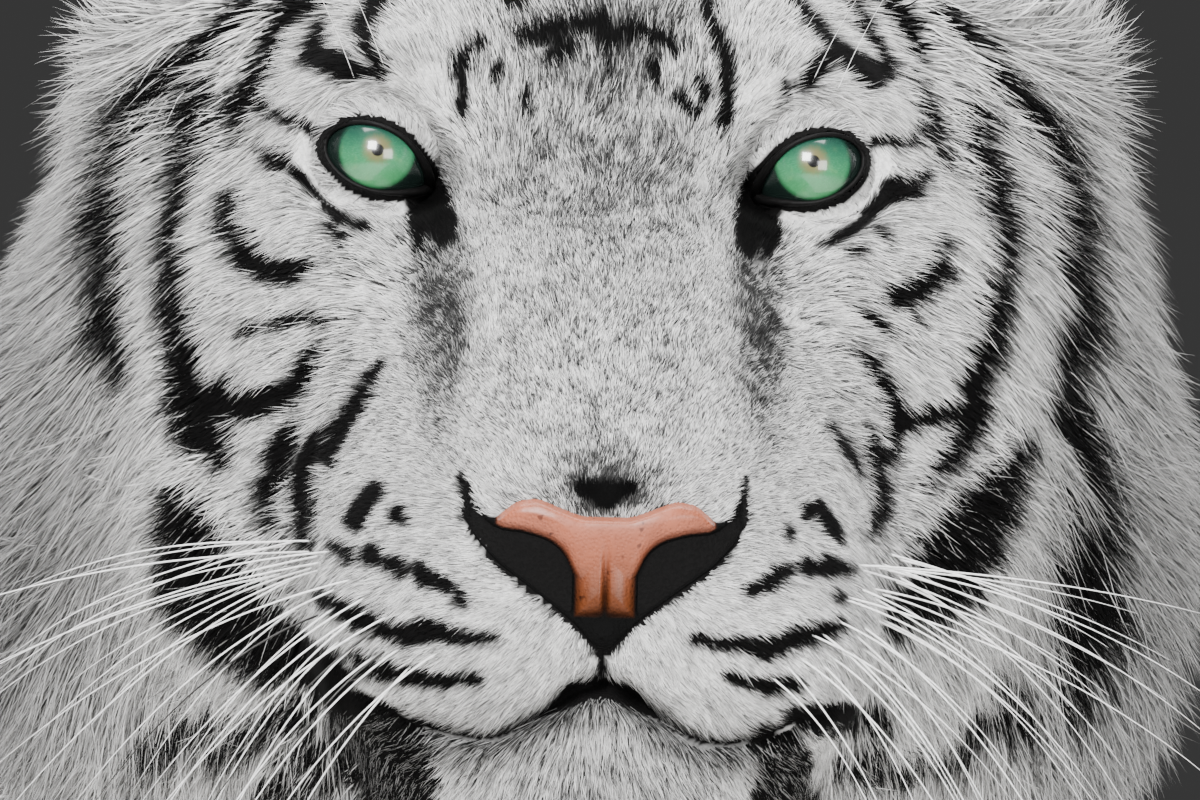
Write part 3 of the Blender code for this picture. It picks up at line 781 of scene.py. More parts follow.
# The marks on the face: lines of places right and up of the point between the eyes, each with half its width
MARKS = {
    "outer ruff stripe right": (
        (-103, 49, 1.5), (-116, 34, 1.8), (-126, 27, 3.1), (-136, 17, 3.7), (-140, 1, 4.3), (-144, -23, 4),
        (-144, -40, 4.3), (-141, -58, 5.2), (-138, -68, 2.7),
    ),
    "second stripe right": (
        (-119, 20, 3.4), (-120, 9, 4.9), (-121, -9, 4), (-123, -27, 3.3), (-123, -46, 3.3), (-120, -64, 3.9),
        (-118, -76, 6), (-114, -83, 6.6), (-108, -91, 3.6),
    ),
    "band right": ((-117, -75, 4.2), (-106, -75, 4.2), (-96, -74, 4.5), (-91, -72, 3.3)),
    "band spur right": ((-108, -66, 1.2), (-109, -73, 2.4)),
    "band tick right": ((-81, -58, 1.5), (-84, -63, 2.7), (-88, -71, 3.3)),
    "cheek bar first right": ((-90, -84, 3), (-94, -94, 3), (-95, -102, 2.7), (-95, -111, 1.8)),
    "cheek bar second right": ((-80, -82, 2.1), (-85, -94, 3.3), (-85, -105, 2.7), (-84, -116, 1.8)),
    "cheek bar third right": ((-63, -63, 1.5), (-67, -69, 1.8), (-70, -75, 2.4), (-74, -82, 2.1), (-78, -91, 1.8)),
    "pad spot first right": ((-65, -99, 2.6), (-70, -108, 2.9)),
    "pad spot second right": ((-58, -106, 2.1), (-58, -107, 2.1)),
    "pad row first right": ((-76, -115, 1.8), (-73, -118, 2.3)),
    "pad row first right b": ((-67, -117, 2.6), (-65, -117, 2.6)),
    "pad row first right c": ((-60, -120, 2.6), (-58, -122, 2.6)),
    "pad row first right d": ((-53, -122, 2.6), (-47, -125, 2.3), (-43, -127, 1.5), (-40, -131, 1.5)),
    "pad row second right": (
        (-80, -129, 1.8), (-72, -134, 2.6), (-63, -138, 3.2), (-55, -140, 3.2), (-49, -139, 3.2), (-42, -140, 2),
        (-30, -140, 1.5),
    ),
    "pad row third right": ((-71, -146, 1.5), (-63, -150, 2.3), (-54, -152, 2.6), (-47, -152, 2), (-35, -152, 1.5)),
    "jowl patch right": (
        (-122, -103, 2.6), (-117, -114, 8.5), (-112, -128, 12.5), (-103, -140, 12), (-92, -147, 10), (-80, -150, 6.5),
        (-72, -152, 3),
    ),
    "throat patch right": ((-77, -160, 3), (-66, -167, 7), (-56, -176, 10), (-54, -190, 10.5)),
    "throat patch second right": ((-92, -191, 4), (-81, -183, 7), (-68, -177, 9)),
    "under the pad right": ((-86, -152, 3.5), (-76, -158, 4.5), (-62, -164, 3.5)),
    "throat tuft right": ((-128, -182, 2), (-117, -175, 4), (-108, -169, 2.5)),
    "throat tuft second right": ((-107, -181, 3), (-96, -173, 5), (-85, -167, 5)),
    "temple band right": (
        (-85, 50, 5.5), (-93, 42, 4), (-98, 31, 2.4), (-102, 21, 3.1), (-106, 13, 3.7), (-107, 3, 1.2),
    ),
    "lid line right": ((-103, 17, 2.1), (-91, 12, 1.8), (-85, 8, 1.8)),
    "brow blob right": ((-81, 41, 2.4), (-83, 31, 4.2), (-76, 27, 4.2), (-69, 25, 2.1)),
    "brow bar right": ((-62, 50, 4.5), (-68, 41, 3), (-69, 35, 2.1), (-65, 25, 2.1)),
    "cheek line right": (
        (-99, 2, 2.1), (-94, -2, 2.7), (-88, -7, 1.5), (-83, -12, 1.2), (-76, -19, 1.2), (-67, -22, 1.2),
    ),
    "cheek line second right": ((-79, -22, 1.2), (-75, -25, 1.2)),
    "hook right": (
        (-108, -13, 2.1), (-107, -23, 3.6), (-104, -30, 3.9), (-97, -34, 3.6), (-89, -35, 3.9), (-84, -33, 1.8),
    ),
    "dash right": ((-94, -51, 1.2), (-87, -48, 2.1), (-79, -49, 1.2)),
    "dash second right": ((-104, -53, 1.2), (-99, -51, 1.2)),
    "tear first right": ((-50, -7, 5.2), (-47, -16, 4.8), (-45, -24, 3.2), (-46, -27, 1.5)),
    "tear second right": ((-53, -12, 3.5), (-52, -22, 2.2), (-53, -28, 1)),
    "tear first left": ((50, -7, 5.2), (47, -16, 5), (45, -24, 3.6), (45, -27, 2)),
    "tear second left": ((53, -13, 3.2), (52, -21, 2.4), (51, -27, 1.4)),
    "forehead edge right": ((-35, 34, 1.8), (-42, 28, 2.1), (-40, 19, 1.8), (-40, 12, 0.9)),
    "forehead top right": ((-29, 50, 1.8), (-24, 47, 2.7)),
    "forehead arc right": ((-22, 36, 2.1), (-14, 39, 2.7), (0, 41, 2.7)),
    "forehead arc second right": ((-14, 31, 2.1), (-8, 34, 2.1)),
    "forehead arc left": ((1, 42, 2.7), (4, 36, 2.7), (10, 39, 2.7), (16, 38, 2.7), (23, 34, 2.1)),
    "forehead dash left": ((30, 25, 1.5), (32, 19, 1.5)),
    "forehead edge left": ((32, 51, 2.4), (34, 42, 1.8), (38, 33, 2.4), (39, 25, 2.4), (37, 11, 1.5)),
    "brow blob left": ((60, 53, 2.4), (64, 45, 2.4), (71, 38, 3.3), (76, 33, 3.6), (83, 30, 5.1), (89, 32, 3.7)),
    "brow limb left": ((71, 35, 2.7), (65, 29, 2.4), (62, 24, 1.2)),
    "brow dash left": ((57, 25, 1.2), (55, 18, 0.9)),
    "temple line left": ((78, 54, 1.8), (83, 45, 2.1), (88, 37, 1.8)),
    "temple band left": ((90, 55, 2.8), (97, 47, 3.7), (103, 37, 2.5)),
    "temple band left 2": ((100, 31, 0.9), (103, 22, 1.8), (106, 13, 2.7), (108, 3, 1.2)),
    "lid line left": ((104, 14, 1.8), (92, 9, 1.5), (84, 9, 1.8)),
    "temple soft left": ((107, 52, 2.2), (115, 45, 2.2), (123, 40, 1.2)),
    "cheek line left": (
        (100, 0, 1.8), (96, -4, 3.3), (90, -6, 3), (85, -12, 1.5), (80, -17, 1.5), (75, -20, 1.5), (66, -24, 0.9),
    ),
    "cheek spot left": ((85, -18, 1.5), (86, -19, 1.5)),
    "cheek spot left 2": ((77, -25, 1.2), (80, -24, 1.2)),
    "hook left": ((105, -21, 2.1), (104, -29, 3.6), (98, -35, 3.3), (89, -38, 3.3)),
    "hook tail left": ((93, -40, 2.1), (97, -46, 0.9)),
    "dash left": ((81, -43, 1.5), (87, -48, 1.2)),
    "cheek bar left 1": ((75, -53, 0.9), (82, -58, 2.1), (86, -64, 2.4), (89, -71, 3), (91, -76, 3.3)),
    "band left": ((89, -72, 3), (92, -75, 3.6), (99, -73, 3.3), (107, -71, 2.7)),
    "inner stripe left": (
        (120, 18, 2.5), (121, 7, 4), (123, -4, 4.3), (125, -16, 4), (124, -28, 3.9), (121, -40, 3.9), (119, -51, 3.9),
        (114, -63, 4.5), (114, -74, 4.5), (105, -89, 2.7), (98, -95, 1.2),
    ),
    "outer stripe left": (
        (129, 32, 2.2), (135, 22, 3.4), (143, 13, 4), (146, -1, 4.3), (149, -15, 4.9), (150, -27, 4.6),
        (153, -36, 5.8), (148, -48, 5.8), (147, -57, 6.1), (146, -68, 6.7), (152, -80, 5.5), (159, -91, 3.4),
    ),
    "cheek bar left 2": ((81, -77, 1.2), (83, -86, 2.1), (85, -94, 2.7), (85, -102, 2.7), (81, -108, 1.5)),
    "cheek bar left 2b": ((89, -80, 2.1), (87, -87, 1.8)),
    "cheek bar left 3": ((68, -77, 1.2), (74, -84, 2.1), (78, -91, 1.2)),
    "jowl patch left": (
        (131, -79, 2.6), (126, -91, 5.5), (119, -100, 9), (112, -110, 11.5), (107, -117, 12), (102, -126, 9),
    ),
    "jowl patch left 2": ((102, -124, 7.5), (93, -128, 6.5), (90, -137, 3.5)),
    "outer patch left": (
        (161, -94, 3.5), (155, -108, 8), (154, -123, 10.5), (157, -136, 11), (156, -150, 7), (150, -162, 3),
    ),
    "pad row left 1": ((42, -125, 1.8), (46, -123, 2)),
    "pad row left 1b": ((50, -120, 2.6), (52, -119, 2.6)),
    "pad row left 1c": ((57, -118, 2.6), (58, -118, 2.6)),
    "pad row left 1d": ((64, -117, 2.6), (72, -118, 1.5)),
    "pad row left 2": (
        (27, -139, 1.5), (33, -140, 2), (40, -140, 2.3), (47, -141, 2.9), (54, -138, 2.9), (62, -136, 2.6),
        (68, -134, 1.8),
    ),
    "pad row left 3": ((36, -150, 1.5), (47, -152, 2.3), (55, -151, 1.8)),
    "pad spot left 1": ((62, -101, 2.1), (66, -105, 2.6), (69, -109, 1.8)),
    "pad spot left 2": ((59, -102, 1.8), (59, -103, 1.8)),
    "pad spot left 3": ((53, -108, 1.8), (53, -109, 1.8)),
    "pad spot left 4": ((67, -125, 1.8), (68, -126, 1.8)),
    "throat patch left": ((48, -166, 3), (54, -174, 8), (57, -188, 11)),
    "throat patch left 2": ((55, -161, 3.5), (68, -161, 5), (83, -163, 5)),
    # a dark line below the left jowl, painted as the shadow under the ruff
    "painted shadow under the ruff left": ((76, -178, 4.5), (97, -178, 4), (120, -173, 3)),
    "throat tuft left": ((124, -152, 1.2), (133, -159, 2.1)),
    "throat tuft left 2": ((120, -165, 3), (139, -169, 4)),
    "spot over the nose": ((-6, -97.5, 2.0), (0, -98.5, 4.2), (6, -97.5, 2.0)),
    "forehead fleck": ((2, 32, 1.6), (4, 26, 1.0)),
    "forehead fleck second": ((17, 29, 2.2), (18, 22, 1.5)),
    "forehead fleck third": ((24, 19, 1.4), (29, 15, 1.8)),
    "forehead fleck fourth": ((-22, 19, 1.7), (-21, 14, 1.0)),
    "forehead fleck fifth": ((-30, 27, 1.4), (-31, 23, 0.8)),
    "crown bar first": ((-30, 61, 1.5), (-17, 66, 2.6), (0, 68, 3.0), (18, 66, 2.6), (31, 60, 1.5)),
    "crown bar second": ((-42, 77, 1.5), (-24, 82, 2.8), (-3, 84, 1.6), (24, 82, 3.0), (43, 76, 1.5)),
    "crown bar third": ((-28, 95, 1.5), (-8, 97, 2.4), (20, 95, 1.5)),
    "crown line right": ((-50, 60, 1.8), (-60, 69, 2.8), (-66, 80, 1.5)),
    "crown line left": ((48, 62, 1.8), (59, 71, 2.8), (66, 81, 1.5)),
    "crease right": ((-41, -94, 0.3), (-40, -104, 0.8)),
    "crease left": ((40.5, -93, 0.3), (39.5, -103, 0.8)),
    "groove under the nose": ((0, -141, 1.0), (0, -154, 0.4)),
}
# Marks on the side of the ruff, behind what shows from the front: places forward and up, each with half its width
RUFF_MARKS = (
    ((-138, 62, 2.0), (-148, 22, 4.5), (-158, -22, 6.0), (-157, -62, 5.5), (-146, -102, 3.0)),
    ((-178, 24, 2.0), (-190, -16, 4.5), (-192, -52, 3.0)),
)
# Greyer places on the head, in part the fur's own grey and in part painted shade along the sides of the nose bridge,
# round the outer edges of the ruff and on the chin under the lip: right, up, their radii, and how bright they stay;
# mirrored
TONES_AND_PAINTED_SHADE = (
    (0, -12, 46, 24, 0.84),
    (46, -44, 9, 36, 0.62),
    (0, -60, 42, 46, 0.94),
    (24, -18, 16, 26, 0.92),
    (40, 8, 10, 26, 1.12),
    (52, -100, 14, 30, 0.86),
    (186, -70, 46, 190, 0.47),
    (172, -150, 40, 60, 0.74),
    (0, -182, 34, 12, 0.84),
)
# Places where dark hairs are strewn through the white: right, up, their radii, and the share of dark hairs; mirrored.
# Along the sides of the nose bridge they are painted shade
DUSK = (
    (0, -98, 13, 9, 1.30),
    (0, -96, 21, 15, 0.60),
    (0, -4, 40, 38, 0.60),
    (46, -44, 9, 38, 0.80),
    (0, -60, 44, 44, 0.42),
    (0, 32, 36, 26, 0.72),
    (0, -178, 30, 12, 0.40),
    (16, -174, 9, 7, 0.45),
    (18, -186, 8, 6, 0.45),
    (70, -30, 22, 16, 0.16),
    (70, -62, 26, 30, 0.14),
    (84, -118, 24, 22, 0.16),
)


def dusk(places):
    """The share of dark hairs among the white at places on the head; along the sides of the nose bridge and by the
    line of the lips they are painted shade.
    """
    share = np.zeros(len(places))
    for *spot, most in DUSK:
        share = np.maximum(share, most * soft_spot(places, *spot))
    share = share * (0.35 + 1.25 * mottle(places, 3.6, 2))
    # dark hairs along the line of the lips, as the painted shadow of the upper lip
    share = np.maximum(share, 0.55 * lip_shade(places, 9.0))
    return share * ramp(places[:, 2], -60, -20)


def lip_shade(places, reach):
    """The painted shadow of the upper lip: 1 at the line between the lips, fading over reach millimetres down the
    chin and faster up the lip.
    """
    below = mouth_line(places[:, 0]) - places[:, 1]
    fade = np.where(below > 0, np.exp(-((below / reach) ** 2)), np.exp(-((below / 3.0) ** 2)))
    return fade * ramp(places[:, 2], 30, 60) * (1 - ramp(np.abs(places[:, 0]), 45, 62))


# How far apart the stripes of the trunk, the rings of the legs and the bands of the tail are
STRIPE_GAP = 88 * MM
RING_GAP = 62 * MM
BAND_GAP = 72 * MM
# The stripes of the two sides differ beyond this distance from the middle of the body
SPINE = 90 * MM


def body_stripes(points, names):
    """How black the coat is on the trunk, neck, legs and tail, from 0 to 1."""
    x, y, z = points.T
    side = np.clip(x / SPINE, -1, 1) * 0.3
    both = np.stack((side, y, z), 1)
    sway = (mottle(both, 0.16) - 0.5) * 0.075 + (mottle(both, 0.055, 9) - 0.5) * 0.016
    phase = (y + 0.30 * (0.75 - z) + sway) / STRIPE_GAP
    wave = waves(phase)
    breadth = mottle(np.stack((side, np.floor(phase + 0.5) * 0.5, z * 0.9), 1), 0.13, 3)
    low = ramp(z, 0.46, 0.60)
    limit = 0.80 - 0.20 * breadth + 0.30 * (1 - low)
    # some stripes are split along their middle
    split = ramp(mottle(both, 0.10, 5), 0.55, 0.66) * ramp(wave, 0.955, 0.985)
    trunk = ramp(wave, limit, limit + 0.10) * (1 - split)
    rings = waves((z + 0.22 * np.abs(x) + sway * 0.7) / RING_GAP)
    gaps = mottle(points, 0.06, 4)
    legs = ramp(rings, 0.72 + 0.35 * gaps, 0.84 + 0.35 * gaps)
    fore = np.char.startswith(names, "fore")
    hind = np.char.startswith(names, "hind")
    inner = ramp(-np.abs(x), -0.16, -0.10)
    legs = np.where(fore, legs * (0.25 + 0.75 * inner), legs) * ramp(z, 0.10, 0.20)
    blend = np.where(fore, ramp(z, 0.42, 0.60), np.where(hind, ramp(z, 0.38, 0.56), 1.0))
    black = trunk * blend + legs * (1 - blend)
    tail = np.char.startswith(names, "tail")
    along = (y[tail] - 0.6) * 0.75 - z[tail] * 0.75
    bands = waves((along + 0.01 * mottle(points[tail], 0.04)) / BAND_GAP)
    black[tail] = np.maximum(ramp(bands, 0.55, 0.70), ramp(y[tail], 1.02, 1.05))
    return black


# The middle of an ear on the head, how far it is turned outwards, and the radius of the white spot on its back
EAR = (114, 96, -142)
EAR_TURN = math.radians(28)
EAR_SPOT = 15


def ear_places(places):
    """Places across, up and out of the hollow of the nearer ear, in millimetres."""
    offset = places - np.array(EAR)
    offset[:, 0] = np.abs(places[:, 0]) - EAR[0]
    across, out = turned(offset[:, 0], offset[:, 2], -EAR_TURN)
    return across, offset[:, 1], out


def ear_black(places):
    """The back of an ear is black round a white spot."""
    across, up, out = ear_places(places)
    spot = ramp(np.hypot(across, up - 8), EAR_SPOT, EAR_SPOT + 4)
    return ramp(-out, 1, 5) * spot * ramp(up, -34, -24)


def blackness(points, names):
    """How black the coat is at places on the animal, from 0 for white to 1."""
    places = to_head(points)
    black = body_stripes(points, names)
    head = np.isin(names, HEAD_NODES)
    front = ramp(places[:, 2], -175, -120) * head
    near = front > 0
    on_face = places[near]
    rough = (mottle(points[near], 0.004) - 0.5) * (2.4 + 5.0 * ramp(-on_face[:, 1], 156, 168))
    swell = 0.7 + 0.9 * ramp(np.abs(on_face[:, 0]), 92, 130)
    edges = np.minimum(stroke_gap(on_face, MARKS.values()) - swell, lid_black(on_face))
    marks = 1 - ramp(np.minimum(edges, nose_margin(on_face) - 2.4) + rough, -0.8, 0.8)
    black[near] += (marks - black[near]) * front[near]
    side = head & (places[:, 2] < -128) & (places[:, 2] > -210) & (np.abs(places[:, 0]) > 60)
    rough = (mottle(points[side], 0.006) - 0.5) * 6
    ruff = 1 - ramp(stroke_gap(places[side][:, (2, 1)], RUFF_MARKS) + rough, -1, 1)
    black[side] = np.maximum(black[side], ruff)
    return np.where(np.char.startswith(names, "ear"), ear_black(places), black)


def coat_colours(points, names, white, black):
    """The coat's colour at places on the animal, with painted shade on the face."""
    places = to_head(points)
    front = ramp(places[:, 2], -172, -104)
    # a faint mottle of the fur's own tone, the painted shadow of the upper lip on the chin, and painted shade at most
    # of the greyer places
    shade = (1 - 0.10 * mottle(points, 0.03)) * (1 - 0.75 * lip_shade(places, 7.5))
    for *spot, bright in TONES_AND_PAINTED_SHADE:
        shade *= 1 - (1 - bright) * soft_spot(places, *spot) * front
    dark = blackness(points, names)[:, None]
    return np.array(white) * shade[:, None] * (1 - dark) + np.array(black) * dark


# ---------------------------------------------------------------- tufts

# The most triangles in one piece
TUFT_LIMIT = 195000
GROWTH = {
    "coat_face": (5.2, 1, 11, 0.22, 0.32),
    "coat_ruff": (3.8, 2, 12, 0.22, 0.26),
    "coat_body": (2.1, 1, 13, 0.16, 0.08),
}
# The least and the most of each tuft's length, breadth and brightness, against the usual
LENGTHS = (0.72, 1.22)
BREADTHS = (0.75, 1.25)
BRIGHTNESS = (0.78, 1.14)
# How bright the duller tufts are, the dark ones strewn through the white, and the pale ones that stray over the black
DULL = (0.20, 0.70)
STREWN = (0.005, 0.12)
STRAY = (0.15, 0.6)
# How far the hair in the hollow of the ear stands up
EAR_LIFT = 7 * MM
# Fine tufts grow on the face: hair shorter than this, and further forward, in millimetres
FACE_HAIR = 15
FACE_BACK = -75
HEAD_BACK = -170


def sampled(areas, density, generator):
    """Evenly strewn roots: their triangle and the shares of its corners."""
    wanted = areas * density
    count = np.floor(wanted + generator.random(len(areas))).astype(int)
    face = np.repeat(np.arange(len(areas)), count)
    a, b = generator.random((2, len(face)))
    over = a + b > 1
    a[over], b[over] = 1 - a[over], 1 - b[over]
    return face, np.stack((1 - a - b, a, b), 1)


def tuft_mesh(name, roots, normals, ways, lengths, widths, lifts, colours, patches, joints, generator):
    """Locks of hair as one mesh: short ones are roof-shaped blades, long ones slim blades bent at the middle."""
    count = len(roots)
    across = np.cross(ways, normals)
    bends = generator.normal(0, 0.12, count)
    turn = generator.normal(0, 0.5, count)[:, None] * (joints > 1)
    broad = across * np.cos(turn) + normals * np.sin(turn)
    stations, steps, sides = [], [], []
    for k in range(joints):
        t = k / joints
        spine = roots + ways * (lengths * t)[:, None] + normals * (lifts * (1 - (1 - t) ** 1.7))[:, None]
        spine += across * (bends * lengths * t * t)[:, None]
        half = broad * (widths * 0.5 * (1 - 0.45 * t))[:, None]
        stations.append(spine - half)
        sides.append(-0.5)
        if joints == 1:
            stations.append(spine + normals * (widths * 0.32)[:, None])
            sides.append(0.0)
        stations.append(spine + half)
        sides.append(0.5)
        steps += [t] * (len(stations) - len(steps))
    stations.append(roots + ways * lengths[:, None] + normals * lifts[:, None] + across * (bends * lengths)[:, None])
    steps.append(1.0)
    sides.append(0.0)
    size = len(stations)
    places = np.stack(stations, 1).reshape(-1, 3)
    faces = ((0, 1, 3), (1, 2, 3)) if joints == 1 else ((0, 1, 3), (0, 3, 2), (2, 3, 4))
    corners = (np.arange(count)[:, None, None] * size + np.array(faces)).reshape(-1, 3)
    mesh = bpy.data.meshes.new(name)
    mesh.vertices.add(len(places))
    mesh.vertices.foreach_set("co", places.ravel())
    mesh.loops.add(corners.size)
    mesh.loops.foreach_set("vertex_index", corners.ravel())
    mesh.polygons.add(len(corners))
    mesh.polygons.foreach_set("loop_start", np.arange(0, corners.size, 3))
    mesh.polygons.foreach_set("use_smooth", np.ones(len(corners), bool))
    mesh.update(calc_edges=True)
    # painted shade darkens each tuft towards its root, where the hairs shade each other, and each tuft gets a small
    # patch of the map
    painted_root_shade = 0.30 + 0.78 * np.minimum(np.array(steps) * 1.3, 1)
    tint(mesh, (colours[:, None, :] * painted_root_shade[:, None]).reshape(-1, 3))
    spots = np.stack((np.array(sides), np.array(steps) - 0.5), 1) * 0.003
    uv = (patches[:, None, :] + spots).reshape(-1, 2)
    mesh.uv_layers.new(name="OFBake").data.foreach_set("uv", uv[corners.ravel()].ravel())
    return mesh


def grow(name, chosen, material, settings):
    """One coat of GROWTH over the chosen triangles of the skin, in pieces small enough to keep every face."""
    cover, joints, seed, rise, dull_share = GROWTH[name]
    mesh = SKIN["mesh"]
    generator = np.random.default_rng(seed)
    places, corners, loops = mesh_arrays(mesh)
    corners, loops = corners[chosen], loops[chosen]
    a, b, c = (places[corners[:, i]] for i in range(3))
    areas = np.linalg.norm(np.cross(b - a, c - a), axis=1) / 2
    values = SKIN["values"][corners].mean(1) * MM
    density = cover * settings.fullness / (0.5 * values[:, 1] * values[:, 2])
    face, share = sampled(areas, density, generator)
    count = len(face)

    def at(field):
        return np.einsum("ij,ijk->ik", share, field[corners[face]])

    roots = at(places)
    on_head = to_head(roots)
    normals = unit(at(SKIN["normals"]))
    depth, length, width = (at(SKIN["values"]) * MM).T
    lengths = length * generator.uniform(*LENGTHS, count)
    widths = width * generator.uniform(*BREADTHS, count)
    flow = at(SKIN["flow"])
    swirl = (mottle(roots, 0.011, seed) - 0.5) * 0.75 + generator.normal(0, 0.13, count)
    across = np.cross(flow, normals)
    ways = flattened(flow + across * swirl[:, None], normals)
    clump = mottle(roots, 0.006, seed + 3)
    names = SKIN["names"][corners[face, 0]]
    lifts = np.minimum(depth, lengths * rise * 2) * (0.35 + 0.70 * clump) * generator.uniform(0.5, 1.0, count)
    lifts += EAR_LIFT * ear_hollow(on_head, names) * generator.random(count)
    colours = coat_colours(roots + ways * (lengths * 0.5)[:, None], names, settings.white, settings.black)
    chance = generator.random(count)
    dull = np.where(chance > 1 - dull_share, generator.uniform(*DULL, count), 1.0)
    dull = np.where(chance < dusk(on_head), generator.uniform(*STREWN, count), dull)
    colours *= (dull * generator.uniform(*BRIGHTNESS, count))[:, None]
    # pale hairs stray over the black, most of all below the chin
    below_chin = ramp(-on_head[:, 1], 150, 165) * ramp(on_head[:, 2], -60, 0)
    stray = (generator.random(count) < 0.05 + 0.12 * below_chin) & (length > 8 * MM + 7 * MM * (1 - below_chin))
    colours[stray] = np.maximum(colours[stray], np.array(settings.white) * generator.uniform(*STRAY))
    uv = gathered(mesh.uv_layers["OFBake"].data, "uv", 2, float)
    patches = np.einsum("ij,ijk->ik", share, uv[loops[face]])
    order = np.flatnonzero(clear_of_features(roots, ways, lengths))
    pieces = math.ceil(len(order) * (joints + 1) / TUFT_LIMIT)
    roots = roots - normals * np.minimum(0.8 * MM, lengths * 0.08)[:, None]
    fields = (roots, normals, ways, lengths, widths, lifts, colours, patches)
    for number, part in enumerate(np.array_split(order, pieces), 1):
        label = f"{name}_{number}"
        shown(label, tuft_mesh(label, *(field[part] for field in fields), joints, generator), material)


def clear_of_features(roots, ways, lengths):
    """False for tufts that would root in an eye's opening, on the nose or within the mouth."""
    at = to_head(roots)
    tips = to_head(roots + ways * lengths[:, None])
    front = at[:, 2] > -60
    inside = np.zeros(len(at), bool)
    for spots, limit in ((at, 1.6), (tips, 0.6), ((at + tips) / 2, 0.9)):
        inside |= front & (lid_reach(spots) < limit) & (spots[:, 2] > -40)
    inside |= front & (nose_gap(at) < 0.0) & (at[:, 2] > 60)
    return ~(inside | by_mouth(at, 50, 0.5, 2.6, 5))


# ---------------------------------------------------------------- nose

# Upper and lower edge of the nose leather: distance from the middle and height, in millimetres
NOSE_TOP = (
    (0, -106), (7, -106), (13, -103.8), (20, -101), (26, -102), (30, -105.5), (33, -106.5), (36, -105), (38.4, -99),
    (39.6, -94), (41, -94),
)
NOSE_LOW = ((0, -143), (3, -141.5), (8.4, -135.5), (14, -131), (22, -125), (31, -118.5), (38, -111), (41, -104))


def along_line(line, value):
    """The height of a line of (distance, height) at these distances, with its corners rounded."""
    line = np.array(line, float)
    return sum(np.interp(np.abs(value + shift), line[:, 0], line[:, 1]) for shift in (-1.6, -0.8, 0, 0.8, 1.6)) / 5


def nose_gap(places):
    """Distance in millimetres outside the outline of the nose leather, negative within it."""
    away = np.abs(places[:, 0])
    top = along_line(NOSE_TOP, away)
    low = along_line(NOSE_LOW, away)
    return np.maximum(np.maximum(places[:, 1] - top, low - places[:, 1]), away - 40)


def nose_margin(places):
    """Distance in millimetres outside the black lower edge of the nose leather."""
    away = np.abs(places[:, 0])
    below = along_line(NOSE_LOW, away) - places[:, 1]
    above = places[:, 1] - along_line(NOSE_TOP, away) + 2.0 + 3.0 * (1 - ramp(away, 31, 34))
    return np.where(places[:, 2] > 40, np.maximum(np.maximum(below, above), away - 39.3), 99.0)


# ---------------------------------------------------------------- finishes


def coat_paint(name, bumpy):
    paint = Paint(name, Roughness=0.80, Specular_IOR_Level=0.08)
    colour = paint.attribute("tint")
    fleck = paint.grain(900.0 if bumpy else 260.0, 3.0)
    colour = paint.mix(0.35, colour, paint.mix(fleck.step(0.35, 0.65), grey(0.35), grey(1.25)), "MULTIPLY")
    if bumpy:
        paint.bump(fleck, 0.6 * MM, 0.8)
    return paint.colour(colour)


# The eye's colours beside that of the iris, from its depth to the pupil
EYE_COLOURS = {
    "deep": (0.018, 0.105, 0.060),
    "pale rays": (0.085, 0.31, 0.165),
    "warm patches": (0.17, 0.34, 0.13),
    "lower half": (0.070, 0.33, 0.10),
    "shade of the lid": (0.010, 0.036, 0.031),
    "brown ring": (0.17, 0.13, 0.055),
    "rim": (0.006, 0.012, 0.010),
    "pupil": (0.002, 0.002, 0.002),
}


def eye_paint(side, face):
    """The painted eyeball: pupil, brown ring, green iris with fine rays, dark rim and dark white."""
    centre = EYES[side] + Vector((0, 0, 2.0 * MM))
    paint = Paint(f"eye_{side}", Roughness=0.22, Coat_Weight=1.0, Coat_Roughness=0.02, Specular_IOR_Level=0.5)
    shift = paint.node("ShaderNodeMapping", {}, {"Vector": paint.place(), "Location": tuple(-centre)}).outputs[0]
    parts = paint.node("ShaderNodeSeparateXYZ", {}, {"Vector": shift})
    x, z = Term(paint, parts.outputs["X"]), Term(paint, parts.outputs["Z"])
    radius = (x * x + z * z) ** 0.5
    ray = paint.node("ShaderNodeCombineXYZ", {}, {"X": x / radius, "Y": radius * 60.0, "Z": z / radius}).outputs[0]
    rays = paint.grain(9.0, 3.0, ray)
    inner = radius + (rays - 0.5) * 0.0016
    iris, pupil = face.iris_radius, face.pupil_radius
    shares = {
        "pale rays": paint.grain(26.0, 2.0, ray).step(0.45, 0.80) * 0.45,
        "warm patches": paint.grain(240.0, 2.0, shift).step(0.5, 0.8) * 0.35,
        "lower half": (1 - z.step(-0.011, 0.003)) * 0.45,
        "shade of the lid": z.step(-0.003, 0.007) * 0.86,
        "brown ring": (1 - inner.step(pupil * 1.2, pupil * 3.0)) * 0.80,
        "rim": radius.step(iris * 0.86, iris * 1.04),
        "pupil": 1 - radius.step(pupil * 0.85, pupil * 1.1),
    }
    colour = paint.mix(rays.step(0.25, 0.75) * 0.45 + 0.55, (*EYE_COLOURS["deep"], 1.0), (*face.iris, 1.0))
    for part, share in shares.items():
        colour = paint.mix(share, colour, (*EYE_COLOURS[part], 1.0))
    return paint.colour(colour)


